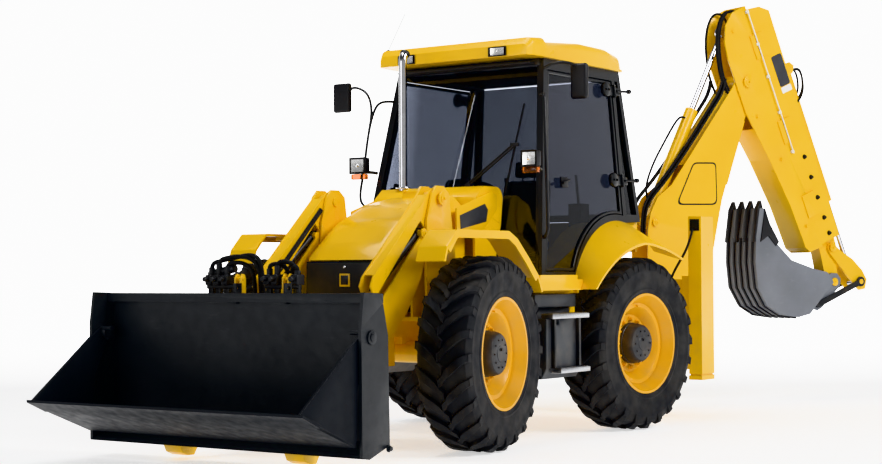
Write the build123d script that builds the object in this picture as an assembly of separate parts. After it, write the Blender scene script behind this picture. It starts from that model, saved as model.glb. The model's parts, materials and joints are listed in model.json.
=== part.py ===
"""Backhoe loader, built in millimetres.

Origin on the ground below the middle of the rear axle; +X forward, +Y to the
machine's left, +Z up. Every node is written as parts/NODE.step in place.
"""

import os
from math import atan2, cos, hypot, radians, sin, sqrt

from build123d import *

# ---------------------------------------------------------------- driving sizes
WHEELBASE = 2220
TYRE_RADIUS = 715
TYRE_WIDTH = 420
RIM_RADIUS = 400
WHEEL_Y = 965
KINGPIN_Y = 880
FRONT_STEER_DEG = 9
REAR_STEER_DEG = -6

RAIL_Y0, RAIL_Y1 = 250, 330
RAIL_Z0, RAIL_Z1 = 830, 1010
FRAME_REAR_X, FRAME_FRONT_X = -1000, 2480

ARM_Y = 500
ARM_HALF = 55
PLATE = 14
TOWER_GAP = 5
SHOVEL_HALF = 1236
CHEEK = 24

CAB_Y = 900
SILL_Z = 1310
LEAN_DEG = 5.94
EAVES_Z = 3040
POST = 60

KING_X = -1680
SLEW_DEG = -24
BOOM_HALF = 130
BOOM_PLATE = 15
DIPPER_PLATE = 16
BUCKET_HALF = 225

FIT = 0.3
GAP = 6

# half width over the dipper's side plates, which pass outside the boom's head
DIPPER_HALF = BOOM_HALF + GAP + DIPPER_PLATE

# pivots of the loader, (x, z)
ARM_PIVOT = (2170, 1860)
LIFT_BASE = (2200, 1520)
LIFT_EYE = (2760, 960)
TILT_BASE = (2370, 1600)
CRANK_PIVOT = (3020, 760)
CRANK_LINK = (3005, 1000)
CRANK_RAM = (3000, 1100)
SHOVEL_PIVOT = (3590, 165)
SHOVEL_LUG = (
    SHOVEL_PIVOT[0] + CRANK_LINK[0] - CRANK_PIVOT[0],
    SHOVEL_PIVOT[1] + CRANK_LINK[1] - CRANK_PIVOT[1],
)
CLAM_PIVOT = (3870, 890)
BONNET_HINGE = (1585, 1950)

# pivots of the backhoe, (s, z): s is the distance behind the kingpost
BOOM_PIVOT = (420, 1050)
BOOM_RAM_BASE = (440, 750)
BOOM_RAM_EYE = (1000, 1750)
DIPPER_PIVOT = (1420, 3180)
DIPPER_RAM_BASE = (280, 1780)
DIPPER_RAM_EYE = (1230, 3670)
DIPPER_DEG = -67
BUCKET_LINK_PIN = (2360, 970)

# how far each cylinder's rod goes in from where it stands
BOOM_STROKE = 425
DIPPER_STROKE = 805
CROWD_STROKE = 545
LIFT_STROKE = 20
TILT_STROKE = 132

LEG_X0, LEG_X1 = -1340, -1100
LEG_Y0, LEG_Y1 = 970, 1100
LEG_Z0, LEG_Z1 = 400, 1800
LEG_WALL = 10


# ---------------------------------------------------------------------- helpers
def slab(x0, x1, y0, y1, z0, z1):
    """A plain block from its six faces."""
    block = Box(x1 - x0, y1 - y0, z1 - z0)
    return Pos((x0 + x1) / 2, (y0 + y1) / 2, (z0 + z1) / 2) * block


def side_plate(outline, y0, y1):
    """A flat piece whose side view is outline, as (x, z), from y0 to y1."""
    face = Plane.XZ * make_face(Polyline(*outline, close=True))
    return Pos(0, y0, 0) * extrude(face, amount=y1 - y0, dir=(0, 1, 0))


def front_plate(outline, x0, x1):
    """A flat piece whose front view is outline, as (y, z), from x0 to x1."""
    face = Plane.YZ * make_face(Polyline(*outline, close=True))
    return Pos(x0, 0, 0) * extrude(face, amount=x1 - x0, dir=(1, 0, 0))


def cross_pin(centre, radius, y0, y1):
    """A round bar along Y at centre, given as (x, z)."""
    bar = Rot(90, 0, 0) * Cylinder(radius, y1 - y0)
    return Pos(centre[0], (y0 + y1) / 2, centre[1]) * bar


def upright(x, y, radius, z0, z1):
    """A round bar along Z."""
    return Pos(x, y, (z0 + z1) / 2) * Cylinder(radius, z1 - z0)


def bar(start, end, width, depth):
    """A rectangular bar between two points; width is along Y where it can be."""
    line = Vector(*end) - Vector(*start)
    across = line.cross(Vector(0, 1, 0))
    if across.length < 1:
        across = Vector(1, 0, 0)
    plane = Plane(origin=start, x_dir=across, z_dir=line)
    return extrude(plane * Rectangle(depth, width), amount=line.length)


def round_bar(start, end, radius):
    """A round bar between two points."""
    line = Vector(*end) - Vector(*start)
    return extrude(Plane(origin=start, z_dir=line) * Circle(radius), amount=line.length)


def both(piece):
    """A piece and its mirror image on the other side of the machine."""
    return [piece, mirror(piece, about=Plane.XZ)]


def turned(piece, pivot, angle):
    """A piece turned about the upright line through pivot, given as (x, y)."""
    return Pos(pivot[0], pivot[1], 0) * Rot(0, 0, angle) * Pos(-pivot[0], -pivot[1], 0) * piece


def save(name, *pieces):
    """Writes the solids of a node to its file."""
    solids = [solid for piece in pieces for solid in piece.solids()]
    whole = solids[0] if len(solids) == 1 else Compound(children=solids)
    export_step(whole, f"parts/{name}.step")


def step_towards(start, end, distance):
    """The point at distance from start on the way to end, in a side view."""
    length = hypot(end[0] - start[0], end[1] - start[1])
    share = distance / length
    return (start[0] + (end[0] - start[0]) * share, start[1] + (end[1] - start[1]) * share)


def spread(start, end):
    """The length of a side-view line."""
    return hypot(end[0] - start[0], end[1] - start[1])


BARREL_FLOOR = 40
GLAND = 40


def ram_barrel(base, eye, y, length, radius, eye_radius, bore, half):
    """A cylinder's barrel: an eye ring on its base pin and a hollow tube."""
    first = step_towards(base, eye, eye_radius * 0.8)
    last = step_towards(base, eye, length)
    tube = round_bar((first[0], y, first[1]), (last[0], y, last[1]), radius)
    ring = cross_pin(base, eye_radius, y - half, y + half)
    inner = step_towards(base, eye, eye_radius + BARREL_FLOOR)
    way = round_bar((inner[0], y, inner[1]), (last[0], y, last[1]), radius * 0.62)
    return tube + ring - cross_pin(base, bore, y - half - 1, y + half + 1) - way


def rod_start(base_radius, stroke):
    """Where a rod begins, so that it stops short of its barrel's floor."""
    return base_radius + BARREL_FLOOR + stroke + GAP


def ram_rod(base, eye, y, start, radius, eye_radius, half):
    """A cylinder's rod, from inside its barrel to the eye at its end."""
    first = step_towards(base, eye, start)
    last = step_towards(base, eye, spread(base, eye) - eye_radius * 0.8)
    rod = round_bar((first[0], y, first[1]), (last[0], y, last[1]), radius)
    return rod + cross_pin(eye, eye_radius, y - half, y + half)


def guide_ring(base, eye, y, length, barrel_radius, rod_radius):
    """The gland in a barrel's mouth, which the rod slides through."""
    first = step_towards(base, eye, length - GLAND)
    last = step_towards(base, eye, length)
    gland = round_bar((first[0], y, first[1]), (last[0], y, last[1]), barrel_radius * 0.62)
    return gland - round_bar((first[0], y, first[1]), (last[0], y, last[1]), rod_radius + FIT)


# ------------------------------------------------------------------------ wheels
def wheel_tyre():
    """A plain tyre on the Y axis, centred on the origin; tread is left out."""
    half = TYRE_WIDTH / 2
    section = [
        (RIM_RADIUS, -half * 0.86),
        (RIM_RADIUS + 60, -half * 0.97),
        (RIM_RADIUS + 150, -half),
        (TYRE_RADIUS - 70, -half * 0.99),
        (TYRE_RADIUS - 18, -half * 0.90),
        (TYRE_RADIUS, -half * 0.62),
        (TYRE_RADIUS, half * 0.62),
        (TYRE_RADIUS - 18, half * 0.90),
        (TYRE_RADIUS - 70, half * 0.99),
        (RIM_RADIUS + 150, half),
        (RIM_RADIUS + 60, half * 0.97),
        (RIM_RADIUS, half * 0.86),
    ]
    inner = [
        (RIM_RADIUS, half * 0.74),
        (RIM_RADIUS + 70, half * 0.82),
        (TYRE_RADIUS - 90, half * 0.82),
        (TYRE_RADIUS - 60, half * 0.60),
        (TYRE_RADIUS - 60, -half * 0.60),
        (TYRE_RADIUS - 90, -half * 0.82),
        (RIM_RADIUS + 70, -half * 0.82),
        (RIM_RADIUS, -half * 0.74),
    ]
    face = make_face(Polyline(*(section + inner), close=True))
    return revolve(face, axis=Axis.Y)


SPINDLE_RADIUS = 95
HUB_FACE = 0
HUB_BORE = 70
HUB_SEAT = 16
RIM_HALF = TYRE_WIDTH / 2 * 0.93
KNUCKLE_HALF = 100
KNUCKLE_RADIUS = 60
KINGPIN_RADIUS = 28


def wheel_rim():
    """Well, dished centre and hub reduction cover, outer side towards +Y."""
    radius = RIM_RADIUS - 0.2
    well = [
        (radius + 14, RIM_HALF),
        (radius - 6, RIM_HALF),
        (radius - 40, RIM_HALF - 50),
        (radius - 66, RIM_HALF - 90),
        (radius - 66, -RIM_HALF + 60),
        (radius - 14, -RIM_HALF),
        (radius + 14, -RIM_HALF),
        (radius + 14, -TYRE_WIDTH / 2 * 0.89),
        (radius, -TYRE_WIDTH / 2 * 0.89),
        (radius, -TYRE_WIDTH / 2 * 0.73),
        (radius - 54, -RIM_HALF + 60 + 30),
        (radius - 54, RIM_HALF - 90 - 14),
        (radius, TYRE_WIDTH / 2 * 0.73),
        (radius, TYRE_WIDTH / 2 * 0.89),
        (radius + 14, TYRE_WIDTH / 2 * 0.89),
    ]
    centre = [
        (0, HUB_FACE + HUB_BORE),
        (SPINDLE_RADIUS + FIT, HUB_FACE + HUB_BORE),
        (SPINDLE_RADIUS + FIT, HUB_FACE - HUB_SEAT),
        (SPINDLE_RADIUS + 40, HUB_FACE - HUB_SEAT),
        (SPINDLE_RADIUS + 45, HUB_FACE),
        (radius - 150, HUB_FACE + 4),
        (radius - 90, RIM_HALF - 110),
        (radius - 60, RIM_HALF - 110),
        (radius - 60, RIM_HALF - 92),
        (radius - 98, RIM_HALF - 92),
        (radius - 160, HUB_FACE + 20),
        (160, HUB_FACE + 20),
        (160, HUB_FACE + 95),
        (142, HUB_FACE + 130),
        (SPINDLE_RADIUS, HUB_FACE + 148),
        (0, HUB_FACE + 148),
    ]
    rim = revolve(make_face(Polyline(*well, close=True)), axis=Axis.Y)
    return rim + revolve(make_face(Polyline(*centre, close=True)), axis=Axis.Y)


def knuckle():
    """Steering knuckle of a left wheel, kingpin on the origin's upright line."""
    offset = WHEEL_Y - KINGPIN_Y
    body = Cylinder(KNUCKLE_RADIUS, 2 * KNUCKLE_HALF)
    spindle = cross_pin((0, 0), SPINDLE_RADIUS, 0, offset + HUB_FACE + HUB_BORE - 4)
    tie_arm = slab(-190, -20, -25, 25, -60, -30)
    pin_way = Cylinder(KINGPIN_RADIUS + FIT, 2 * KNUCKLE_HALF + 2)
    return body + spindle + tie_arm - pin_way


def placed_wheel(piece, x, side, steer_deg):
    """A wheel piece built with its wheel centre at the origin, put in its place."""
    if side < 0:
        piece = mirror(piece, about=Plane.XZ)
    piece = Pos(x, side * WHEEL_Y, TYRE_RADIUS) * piece
    return turned(piece, (x, side * KINGPIN_Y), steer_deg)


def wheels():
    rows = [
        ("front_left", WHEELBASE, 1, FRONT_STEER_DEG),
        ("front_right", WHEELBASE, -1, FRONT_STEER_DEG),
        ("rear_left", 0, 1, REAR_STEER_DEG),
        ("rear_right", 0, -1, REAR_STEER_DEG),
    ]
    tyre = wheel_tyre()
    rim = wheel_rim()
    carrier = Pos(0, KINGPIN_Y - WHEEL_Y, 0) * knuckle()
    for name, x, side, steer in rows:
        save(f"{name}_tyre", placed_wheel(tyre, x, side, steer))
        save(f"{name}_rim", placed_wheel(rim, x, side, steer))
        save(f"{name}_knuckle", placed_wheel(carrier, x, side, steer))


# ----------------------------------------------------------------------- chassis
YOKE_Z = KNUCKLE_HALF + 5
YOKE_PLATE = 34
YOKE_HALF = 62
YOKE_REACH = 135


def axle_fork(x):
    """The left end of an axle: two round-ended cheeks, their web and the kingpin."""
    z = TYRE_RADIUS
    root = KINGPIN_Y - YOKE_REACH
    outer_z = YOKE_Z + YOKE_PLATE
    fork = slab(x - YOKE_HALF, x + YOKE_HALF, root, root + 40, z - outer_z, z + outer_z)
    for z0 in (z + YOKE_Z, z - outer_z):
        cheek = slab(x - YOKE_HALF, x + YOKE_HALF, root, KINGPIN_Y, z0, z0 + YOKE_PLATE)
        fork = fork + cheek + upright(x, KINGPIN_Y, YOKE_HALF, z0, z0 + YOKE_PLATE)
    return fork + upright(x, KINGPIN_Y, KINGPIN_RADIUS, z - YOKE_Z - 10, z + YOKE_Z + 10)


def axle(x):
    """A drive axle: casing, bowl, forked ends with their kingpins."""
    z = TYRE_RADIUS
    tube = cross_pin((x, z), 82, -KINGPIN_Y + 105, KINGPIN_Y - 105)
    bowl = Pos(x, 0, z) * Sphere(150)
    nose = Pos(x - 190, 0, z) * Rot(0, 90, 0) * Cylinder(60, 140)
    saddle = slab(x - 100, x + 100, -RAIL_Y1, RAIL_Y1, z + 60, RAIL_Z0)
    case = tube + bowl + nose + saddle
    fork = axle_fork(x)
    return case + fork + mirror(fork, about=Plane.XZ)


TOWER_IN = ARM_Y - ARM_HALF - TOWER_GAP
TOWER_OUT = ARM_Y + ARM_HALF + TOWER_GAP


def tower():
    """Left loader tower: two plates with the arm between them, on the frame."""
    outer = [
        (1900, RAIL_Z1 - 60),
        (2330, RAIL_Z1 - 60),
        (2350, 1300),
        (2340, 1700),
        (2270, 1900),
        (2215, 1955),
        (2120, 1955),
        (2050, 1900),
        (1985, 1500),
    ]
    inside = side_plate(outer, TOWER_IN - 18, TOWER_IN)
    outside = side_plate(outer, TOWER_OUT, TOWER_OUT + 18)
    back = [
        (1900, RAIL_Z1 - 60), (1985, 1500), (2040, 1850), (2062, 1846), (2007, 1500),
        (1925, RAIL_Z1 - 60),
    ]
    web = side_plate(back, TOWER_IN, TOWER_OUT)
    foot = slab(1900, 2330, RAIL_Y1 - 10, TOWER_OUT + 18, RAIL_Z1 - 60, RAIL_Z1 - 30)
    arm_pin = cross_pin(ARM_PIVOT, 35, TOWER_IN - 30, TOWER_OUT + 34)
    ram_pin = cross_pin(LIFT_BASE, 28, TOWER_IN - 26, TOWER_OUT + 34)
    guard_arm = slab(2120, 2320, TOWER_OUT + 10, 900, GUARD_TOP - GUARD_SKIN - 30, GUARD_TOP - GUARD_SKIN)
    return inside + outside + web + foot + arm_pin + ram_pin + guard_arm


TOW_Z = 700
TOW_EYE = 45
TOW_HALF = 20
TOW_BORE = 22
FRAME_NOSE_X = 2600
TOW_X = FRAME_NOSE_X + TOW_EYE


def main_frame():
    rail = slab(FRAME_REAR_X, FRAME_FRONT_X, RAIL_Y0, RAIL_Y1, RAIL_Z0, RAIL_Z1)
    frame = rail + mirror(rail, about=Plane.XZ)
    for x in (-700, 320, 1150, 1480, 2360):
        frame = frame + slab(x, x + 80, -RAIL_Y0, RAIL_Y0, RAIL_Z0 + 10, RAIL_Z0 + 70)
    frame = frame + slab(2440, FRAME_NOSE_X, -350, 350, 620, 850)
    for piece in both(tower()):
        frame = frame + piece
    outriggers = [(760, 840), (1370, 1440)]
    for x0, x1 in outriggers:
        for piece in both(slab(x0, x1, RAIL_Y1 - 10, 900, RAIL_Z1 - 60, RAIL_Z1 + 20)):
            frame = frame + piece
    for piece in both(slab(-620, -520, RAIL_Y1 - 10, 540, RAIL_Z1 - 60, RAIL_Z1 + 20)):
        frame = frame + piece
    return frame


def tow_jaw():
    """The towing tongue bolted to the frame's nose, with its upright pin hole."""
    z0, z1 = TOW_Z - TOW_HALF, TOW_Z + TOW_HALF
    tongue = slab(FRAME_NOSE_X + FIT, TOW_X, -TOW_EYE, TOW_EYE, z0, z1)
    tongue = tongue + upright(TOW_X, 0, TOW_EYE, z0, z1)
    return tongue - upright(TOW_X, 0, TOW_BORE, z0 - 1, z1 + 1)


SHIFT_X = -1260


def rear_frame():
    """The frame the backhoe slides on, with the stabiliser tubes at its ends."""
    top = slab(SHIFT_X, SHIFT_X + 140, -LEG_Y0 + 60, LEG_Y0 - 60, 1100, 1240)
    low = slab(SHIFT_X, SHIFT_X + 140, -LEG_Y0 + 60, LEG_Y0 - 60, 470, 610)
    frame = top + low
    for side in (-1, 1):
        y0, y1 = sorted((side * RAIL_Y0, side * RAIL_Y1))
        cheek = [
            (SHIFT_X + 60, 470), (SHIFT_X + 60, 1240), (-1000, 1240), (-1000, 640),
            (SHIFT_X + 150, 470),
        ]
        frame = frame + side_plate(cheek, y0, y1)
        a, b = sorted((side * (LEG_Y0 - 70), side * LEG_Y0))
        end = slab(SHIFT_X, SHIFT_X + 150, a, b, 440, 1270)
        frame = frame + end
        c, d = sorted((side * LEG_Y0, side * LEG_Y1))
        tube = slab(LEG_X0, LEG_X1, c, d, LEG_Z0, LEG_Z1)
        hollow = slab(
            LEG_X0 + LEG_WALL, LEG_X1 - LEG_WALL, c + LEG_WALL, d - LEG_WALL, LEG_Z0 - 1,
            LEG_Z1 - LEG_WALL,
        )
        frame = frame + (tube - hollow)
    return frame


def stabiliser_leg():
    """The sliding inner leg on the left, with its foot."""
    skin = LEG_WALL + 0.5
    leg = slab(LEG_X0 + skin, LEG_X1 - skin, LEG_Y0 + skin, LEG_Y1 - skin, LEG_Z0 - 20, LEG_Z1 - 60)
    foot = slab(LEG_X0, LEG_X1, LEG_Y0, LEG_Y1, LEG_Z0 - 50, LEG_Z0 - 12)
    return leg + foot


# ------------------------------------------------------------- bonnet and grille
# x, half width, side height, top height of the bonnet's sections
BONNET_SECTIONS = [
    (1600, 408, 1800, 1910),
    (1950, 404, 1740, 1840),
    (2310, 396, 1600, 1690),
    (2520, 384, 1440, 1500),
    (2620, 372, 1330, 1380),
]
BONNET_SKIRT_Z = 1300
HINGE_PIN = 9


def bonnet_block(inset, skirt_z, rear_extra=0):
    """The bonnet's outside shape, drawn in by inset on every side."""
    faces = []
    for x, half, side_z, top_z in BONNET_SECTIONS:
        w = half - inset
        table = [
            (-w, skirt_z),
            (-w, side_z - inset),
            (-w + 110, top_z - inset),
            (w - 110, top_z - inset),
            (w, side_z - inset),
            (w, skirt_z),
        ]
        faces.append(Pos(x, 0, 0) * (Plane.YZ * make_face(Polyline(*table, close=True))))
    return loft(Sketch() + faces, ruled=True)


def bonnet():
    outer = bonnet_block(0, BONNET_SKIRT_Z)
    inner = bonnet_block(14, BONNET_SKIRT_Z - 5)
    front = slab(2540, 2700, -500, 500, 1200, 1405)
    shell = outer - (inner - slab(2604, 2700, -500, 500, 1200, 1700))
    x, z = BONNET_HINGE
    hinge = cross_pin(BONNET_HINGE, 16, -160, 160) + cross_pin(BONNET_HINGE, HINGE_PIN, -190, 190)
    lug = slab(x, x + 60, -160, 160, z - 62, z - 8)
    return shell - front + hinge + lug


def grille():
    shell = slab(2545, 2600, -360, 360, 860, 1395)
    window = slab(2560, 2601, -320, 320, 900, 1360)
    ribs = slab(2570, 2585, -320, 320, 900, 1360)
    stay = slab(2490, 2546, -340, -300, 850, 1000) + slab(2490, 2546, 300, 340, 850, 1000)
    return shell - window + ribs + stay


# ---------------------------------------------------------------------- mudguards
GUARD_TOP = 1615
GUARD_SKIN = 20
GUARD_IN = 770
GUARD_OUT = 1170
FRONT_GUARD_OUT = 1020
# x, z of the outside line of the front mudguard, from its front edge to its tail
FRONT_GUARD = [
    (2750, 1390), (2715, 1490), (2590, GUARD_TOP), (1905, GUARD_TOP), (1790, 1560), (1620, 1410),
    (1490, 1280), (1432, 1160),
]
GUARD_BEND = 45

# the rear wheelhouse is an arch about this point, (x, z), which the cab's side follows
ARCH = (-30, 930)
ARCH_RADIUS = 800
ARCH_TAIL_X = -620
ARCH_FOOT_Z = 1170


def arch_at_x(radius, x):
    """The point of the arch's circle, at the given radius, above x."""
    return (x, ARCH[1] + sqrt(radius ** 2 - (x - ARCH[0]) ** 2))


def arch_at_z(radius, z):
    """The foremost point of the arch's circle, at the given radius, at height z."""
    return (ARCH[0] + sqrt(radius ** 2 - (z - ARCH[1]) ** 2), z)


def arch_line(radius, x, z):
    """The arch's circle from above x, over the top, down to height z in front."""
    start, end = arch_at_x(radius, x), arch_at_z(radius, z)
    turns = [atan2(z - ARCH[1], x - ARCH[0]) for x, z in (start, end)]
    half_turn = sum(turns) / 2
    middle = (ARCH[0] + radius * cos(half_turn), ARCH[1] + radius * sin(half_turn))
    return ThreePointArc(start, middle, end)


def arch_face(points, radius, x, z):
    """The face inside the arch's line from x to z and the points that close it."""
    arc = arch_line(radius, x, z)
    line = Polyline(arc @ 1, *points, arc @ 0)
    return make_face(arc.edges() + line.edges())


def offset_line(table, distance):
    """The line moved down or inwards by distance, corner by corner."""
    moved = []
    for index, point in enumerate(table):
        before = table[max(index - 1, 0)]
        after = table[min(index + 1, len(table) - 1)]
        angle = atan2(after[1] - before[1], after[0] - before[0])
        moved.append((point[0] - distance * sin(angle), point[1] + distance * cos(angle)))
    return moved


def guard_strip(table, y0, y1, skin):
    """A sheet that follows the table's line with rounded bends, skin thick inside."""
    outer = FilletPolyline(*table, radius=GUARD_BEND)
    inner = FilletPolyline(*offset_line(table, skin), radius=GUARD_BEND)
    ends = [Line(outer @ 0, inner @ 0), Line(outer @ 1, inner @ 1)]
    edges = outer.edges() + inner.edges() + ends[0].edges() + ends[1].edges()
    return side_panel(make_face(edges), y0, y1)


def side_panel(face, y0, y1):
    """A flat piece whose side view is face, drawn in (x, z), from y0 to y1."""
    return Pos(0, y0, 0) * extrude(Plane.XZ * face, amount=y1 - y0, dir=(0, 1, 0))


def front_guard():
    sheet = guard_strip(FRONT_GUARD, GUARD_IN, FRONT_GUARD_OUT, GUARD_SKIN)
    lip = guard_strip(FRONT_GUARD[1:-1], FRONT_GUARD_OUT - GUARD_SKIN, FRONT_GUARD_OUT, 60)
    return sheet + lip


# x, z of the rear mudguard's outer edge: foot, crown, and tail with points between
REAR_LIP = [(880, 1170), (560, 1402), (50, 1550), (-270, 1512), (ARCH_TAIL_X, 1420)]
REAR_GUARD_IN = 800
REAR_GUARD_RISE = 42


def guard_section(y, points, skin):
    """A closed strip, skin thick, under two arcs through five points, at y."""
    foot, front, crown, back, tail = points
    low = [(x, z - skin) for x, z in (crown, back, tail)]
    low_foot, low_front = (foot[0] - skin, foot[1]), (front[0] - skin * 0.6, front[1] - skin * 0.8)
    edges = [
        ThreePointArc(foot, front, crown),
        ThreePointArc(crown, back, tail),
        Line(tail, low[2]),
        ThreePointArc(low[2], low[1], low[0]),
        ThreePointArc(low[0], low_front, low_foot),
        Line(low_foot, foot),
    ]
    return Pos(0, y, 0) * (Plane.XZ * make_face([piece.edge() for piece in edges]))


def rear_guard():
    """The left rear mudguard: it falls from the cab's side to a lip over the tyre."""
    radius = ARCH_RADIUS + REAR_GUARD_RISE
    corner = radius * cos(radians(45))
    inner = [
        arch_at_z(radius, ARCH_FOOT_Z),
        (ARCH[0] + corner, ARCH[1] + corner),
        arch_at_x(radius, ARCH[0]),
        arch_at_x(radius, (ARCH[0] + ARCH_TAIL_X) / 2),
        arch_at_x(radius, ARCH_TAIL_X),
    ]
    sections = [
        guard_section(REAR_GUARD_IN, inner, GUARD_SKIN),
        guard_section(GUARD_OUT, REAR_LIP, GUARD_SKIN),
    ]
    sheet = loft([section.face() for section in sections], ruled=True)
    cab_side = lean(side_plate([(1330, 1100), (900, 3100), (-700, 3100), (-700, 1100)], -300, 0), 1)
    return sheet - cab_side


# ----------------------------------------------------------------------------- cab
def lean(piece, side):
    """A piece drawn upright at y=0 (outside face), put on the leaning cab side."""
    placed = Pos(0, CAB_Y, SILL_Z) * Rot(LEAN_DEG, 0, 0) * Pos(0, 0, -SILL_Z) * piece
    return placed if side > 0 else mirror(placed, about=Plane.XZ)


def side_y(z):
    """Outside half width of the cab at a height."""
    return CAB_Y - (z - SILL_Z) * sin(radians(LEAN_DEG)) / cos(radians(LEAN_DEG))


# side views on the leaning plane, as (x, z); their lower rear edges follow the wheel arch
CAB_SIDE = [(1270, 1250), (918, EAVES_Z), (-310, EAVES_Z), (-430, 1740)]
DOOR_TOP_Z = 2950
DOOR_SILL_Z = 1310
DOOR_CORNERS = [(1196, DOOR_SILL_Z), (872, DOOR_TOP_Z), (-168, DOOR_TOP_Z)]
DOOR_REAR_X = -140
QUARTER_OPENING = [(-222, DOOR_TOP_Z), (-262, DOOR_TOP_Z), (-375, 1800), (-196, 1800)]
DOOR_RAIL = 26
HEADER_Z = 3000
FRAME_ARCH = ARCH_RADIUS + 5
DOOR_ARCH = FRAME_ARCH + POST


def side_face():
    return arch_face(CAB_SIDE, FRAME_ARCH, DOOR_REAR_X, 1250)


def door_face():
    return arch_face(DOOR_CORNERS, DOOR_ARCH, DOOR_REAR_X, DOOR_SILL_Z)


def inset(face, distance):
    """A face drawn in by distance."""
    return offset(face, amount=-distance, kind=Kind.INTERSECTION)


def panel(sketch, depth0, depth1):
    """A sketch in (x, z) made into a panel from y=depth0 to depth1."""
    face = Plane.XZ * sketch
    return Pos(0, depth0, 0) * extrude(face, amount=depth1 - depth0, dir=(0, 1, 0))


def cab_side_frame(side):
    frame = side_panel(side_face(), -POST, 0)
    frame = frame - side_panel(door_face(), -POST - 1, 1) - side_plate(QUARTER_OPENING, -POST - 1, 1)
    return lean(frame, side)


def cab_frame():
    left = cab_side_frame(1)
    right = cab_side_frame(-1)
    half_low = side_y(1280) - POST / 2
    half_top = side_y(HEADER_Z) - POST / 2
    bars = [
        bar((1236, -half_low, 1280), (1236, half_low, 1280), POST, POST),
        bar((905, -half_top, HEADER_Z), (905, half_top, HEADER_Z), POST, POST),
        bar((-285, -half_top, HEADER_Z), (-285, half_top, HEADER_Z), POST, POST),
        bar((-400, -side_y(1780) + 30, 1780), (-400, side_y(1780) - 30, 1780), POST, POST),
    ]
    frame = left + right
    for piece in bars:
        frame = frame + piece
    return frame


def cab_door(side):
    ring = inset(door_face(), GAP) - inset(door_face(), GAP + DOOR_RAIL)
    return lean(panel(ring, -44, -4), side)


def door_glass(side):
    pane = inset(door_face(), GAP + DOOR_RAIL + FIT)
    return lean(panel(pane, -28, -20), side)


WHEELHOUSE_Y = 550
WHEELHOUSE_SKIN = 20
FLOOR_Z = 1140


def wheelhouse():
    """The left wheel arch inside the cab: its wall and its curved roof."""
    rear_x, y_in = -420, WHEELHOUSE_Y - WHEELHOUSE_SKIN
    outer = arch_face([(rear_x, FLOOR_Z)], ARCH_RADIUS, rear_x, FLOOR_Z)
    inner = arch_face([(rear_x, FLOOR_Z)], ARCH_RADIUS - WHEELHOUSE_SKIN, rear_x, FLOOR_Z)
    wall = side_panel(outer, y_in, WHEELHOUSE_Y)
    crown = side_panel(outer - inner, y_in, CAB_Y + 40)
    outside = lean(side_plate([(1330, 1000), (1330, 3100), (-700, 3100), (-700, 1000)], 0, 300), 1)
    skirt = side_plate([(-430, 1600), (-430, 1740), (-140, 1727), (-140, 1700)], -POST, -36)
    return wall + (crown - outside) + lean(skirt, 1)


def cab_floor():
    """Floor, sills and rear bulkhead, in body colour."""
    front_x = 1240
    floor = slab(-420, front_x, -WHEELHOUSE_Y, WHEELHOUSE_Y, FLOOR_Z, FLOOR_Z + 50)
    floor = floor + slab(700, front_x, -880, 880, FLOOR_Z, FLOOR_Z + 50)
    seat_step = slab(-420, 500, -WHEELHOUSE_Y, WHEELHOUSE_Y, 1190, 1215)
    bulkhead = slab(-440, -400, -WHEELHOUSE_Y, WHEELHOUSE_Y, FLOOR_Z, 1745)
    bulkhead = bulkhead + slab(-440, -400, -820, 820, 1480, 1745)
    floor = floor + seat_step + bulkhead
    sill = slab(800, 1440, 700, 1000, 1166, 1249) + slab(880, 1440, 906, 1000, 1230, 1285)
    stand = slab(-420, -340, 300, 540, RAIL_Z1, FLOOR_Z) + slab(1160, front_x, 300, 400, RAIL_Z1, FLOOR_Z)
    for half in (wheelhouse(), sill, stand):
        for piece in both(half):
            floor = floor + piece
    return floor


# side view of the cowl; its rear upper corner is round
COWL = [(1330, 1300), (1590, 1300), (1590, 1830), (1560, 1905), (1460, 1985), (1185, 1985), (1220, 1690)]
COWL_SKIN = 20


def cowl_face(skin):
    """The cowl's side view, drawn in by skin."""
    face = make_face(Polyline(*COWL, close=True))
    corners = face.vertices().filter_by(lambda v: v.Y > 1600 and v.X < 1300)
    face = fillet(corners, 90)
    return offset(face, amount=-skin, kind=Kind.INTERSECTION) if skin else face


def cowl():
    """The fixed scuttle between the windscreen and the bonnet."""
    block = side_panel(cowl_face(0), -500, 500)
    cut = side_panel(cowl_face(COWL_SKIN), -500 + COWL_SKIN, 500 - COWL_SKIN)
    cut = cut + slab(1450, 1600, -480, 480, 1200, 1800) + slab(1350, 1600, -480, 480, 1200, 1400)
    x, z = BONNET_HINGE
    ear = [
        (x - 60, z - 62), (x - 20, z - 66), (x + 16, z - 14), (x + 18, z + 10), (x, z + 20),
        (x - 22, z + 8),
    ]
    ears = both(side_plate(ear, 168, 186) - cross_pin(BONNET_HINGE, HINGE_PIN + FIT, 167, 187))
    return block - cut + ears[0] + ears[1]


ROOF_Z = 3031
# the two work lamps let into the visor's front face
LAMP_BACK_X = 1100
LAMP_Y = 450
LAMP_Z0, LAMP_Z1 = 3052, 3104
# x, half width, top height and corner radius of the roof's sections, visor first
ROOF_SECTIONS = [
    (1178, 725, 3120, 40),
    (1130, 752, 3175, 55),
    (965, 765, 3190, 60),
    (925, 765, 3158, 60),
    (370, 765, 3205, 70),
    (-60, 760, 3205, 75),
    (-280, 742, 3172, 70),
    (-385, 700, 3085, 40),
]


def roof_section(x, half, top, radius):
    """A section of the roof: a rectangle with its two upper corners rounded."""
    height = top - ROOF_Z
    face = Pos(0, ROOF_Z + height / 2) * Rectangle(2 * half, height)
    face = fillet(face.vertices().sort_by(Axis.Y)[-2:], radius)
    return Pos(x, 0, 0) * (Plane.YZ * face)


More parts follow.
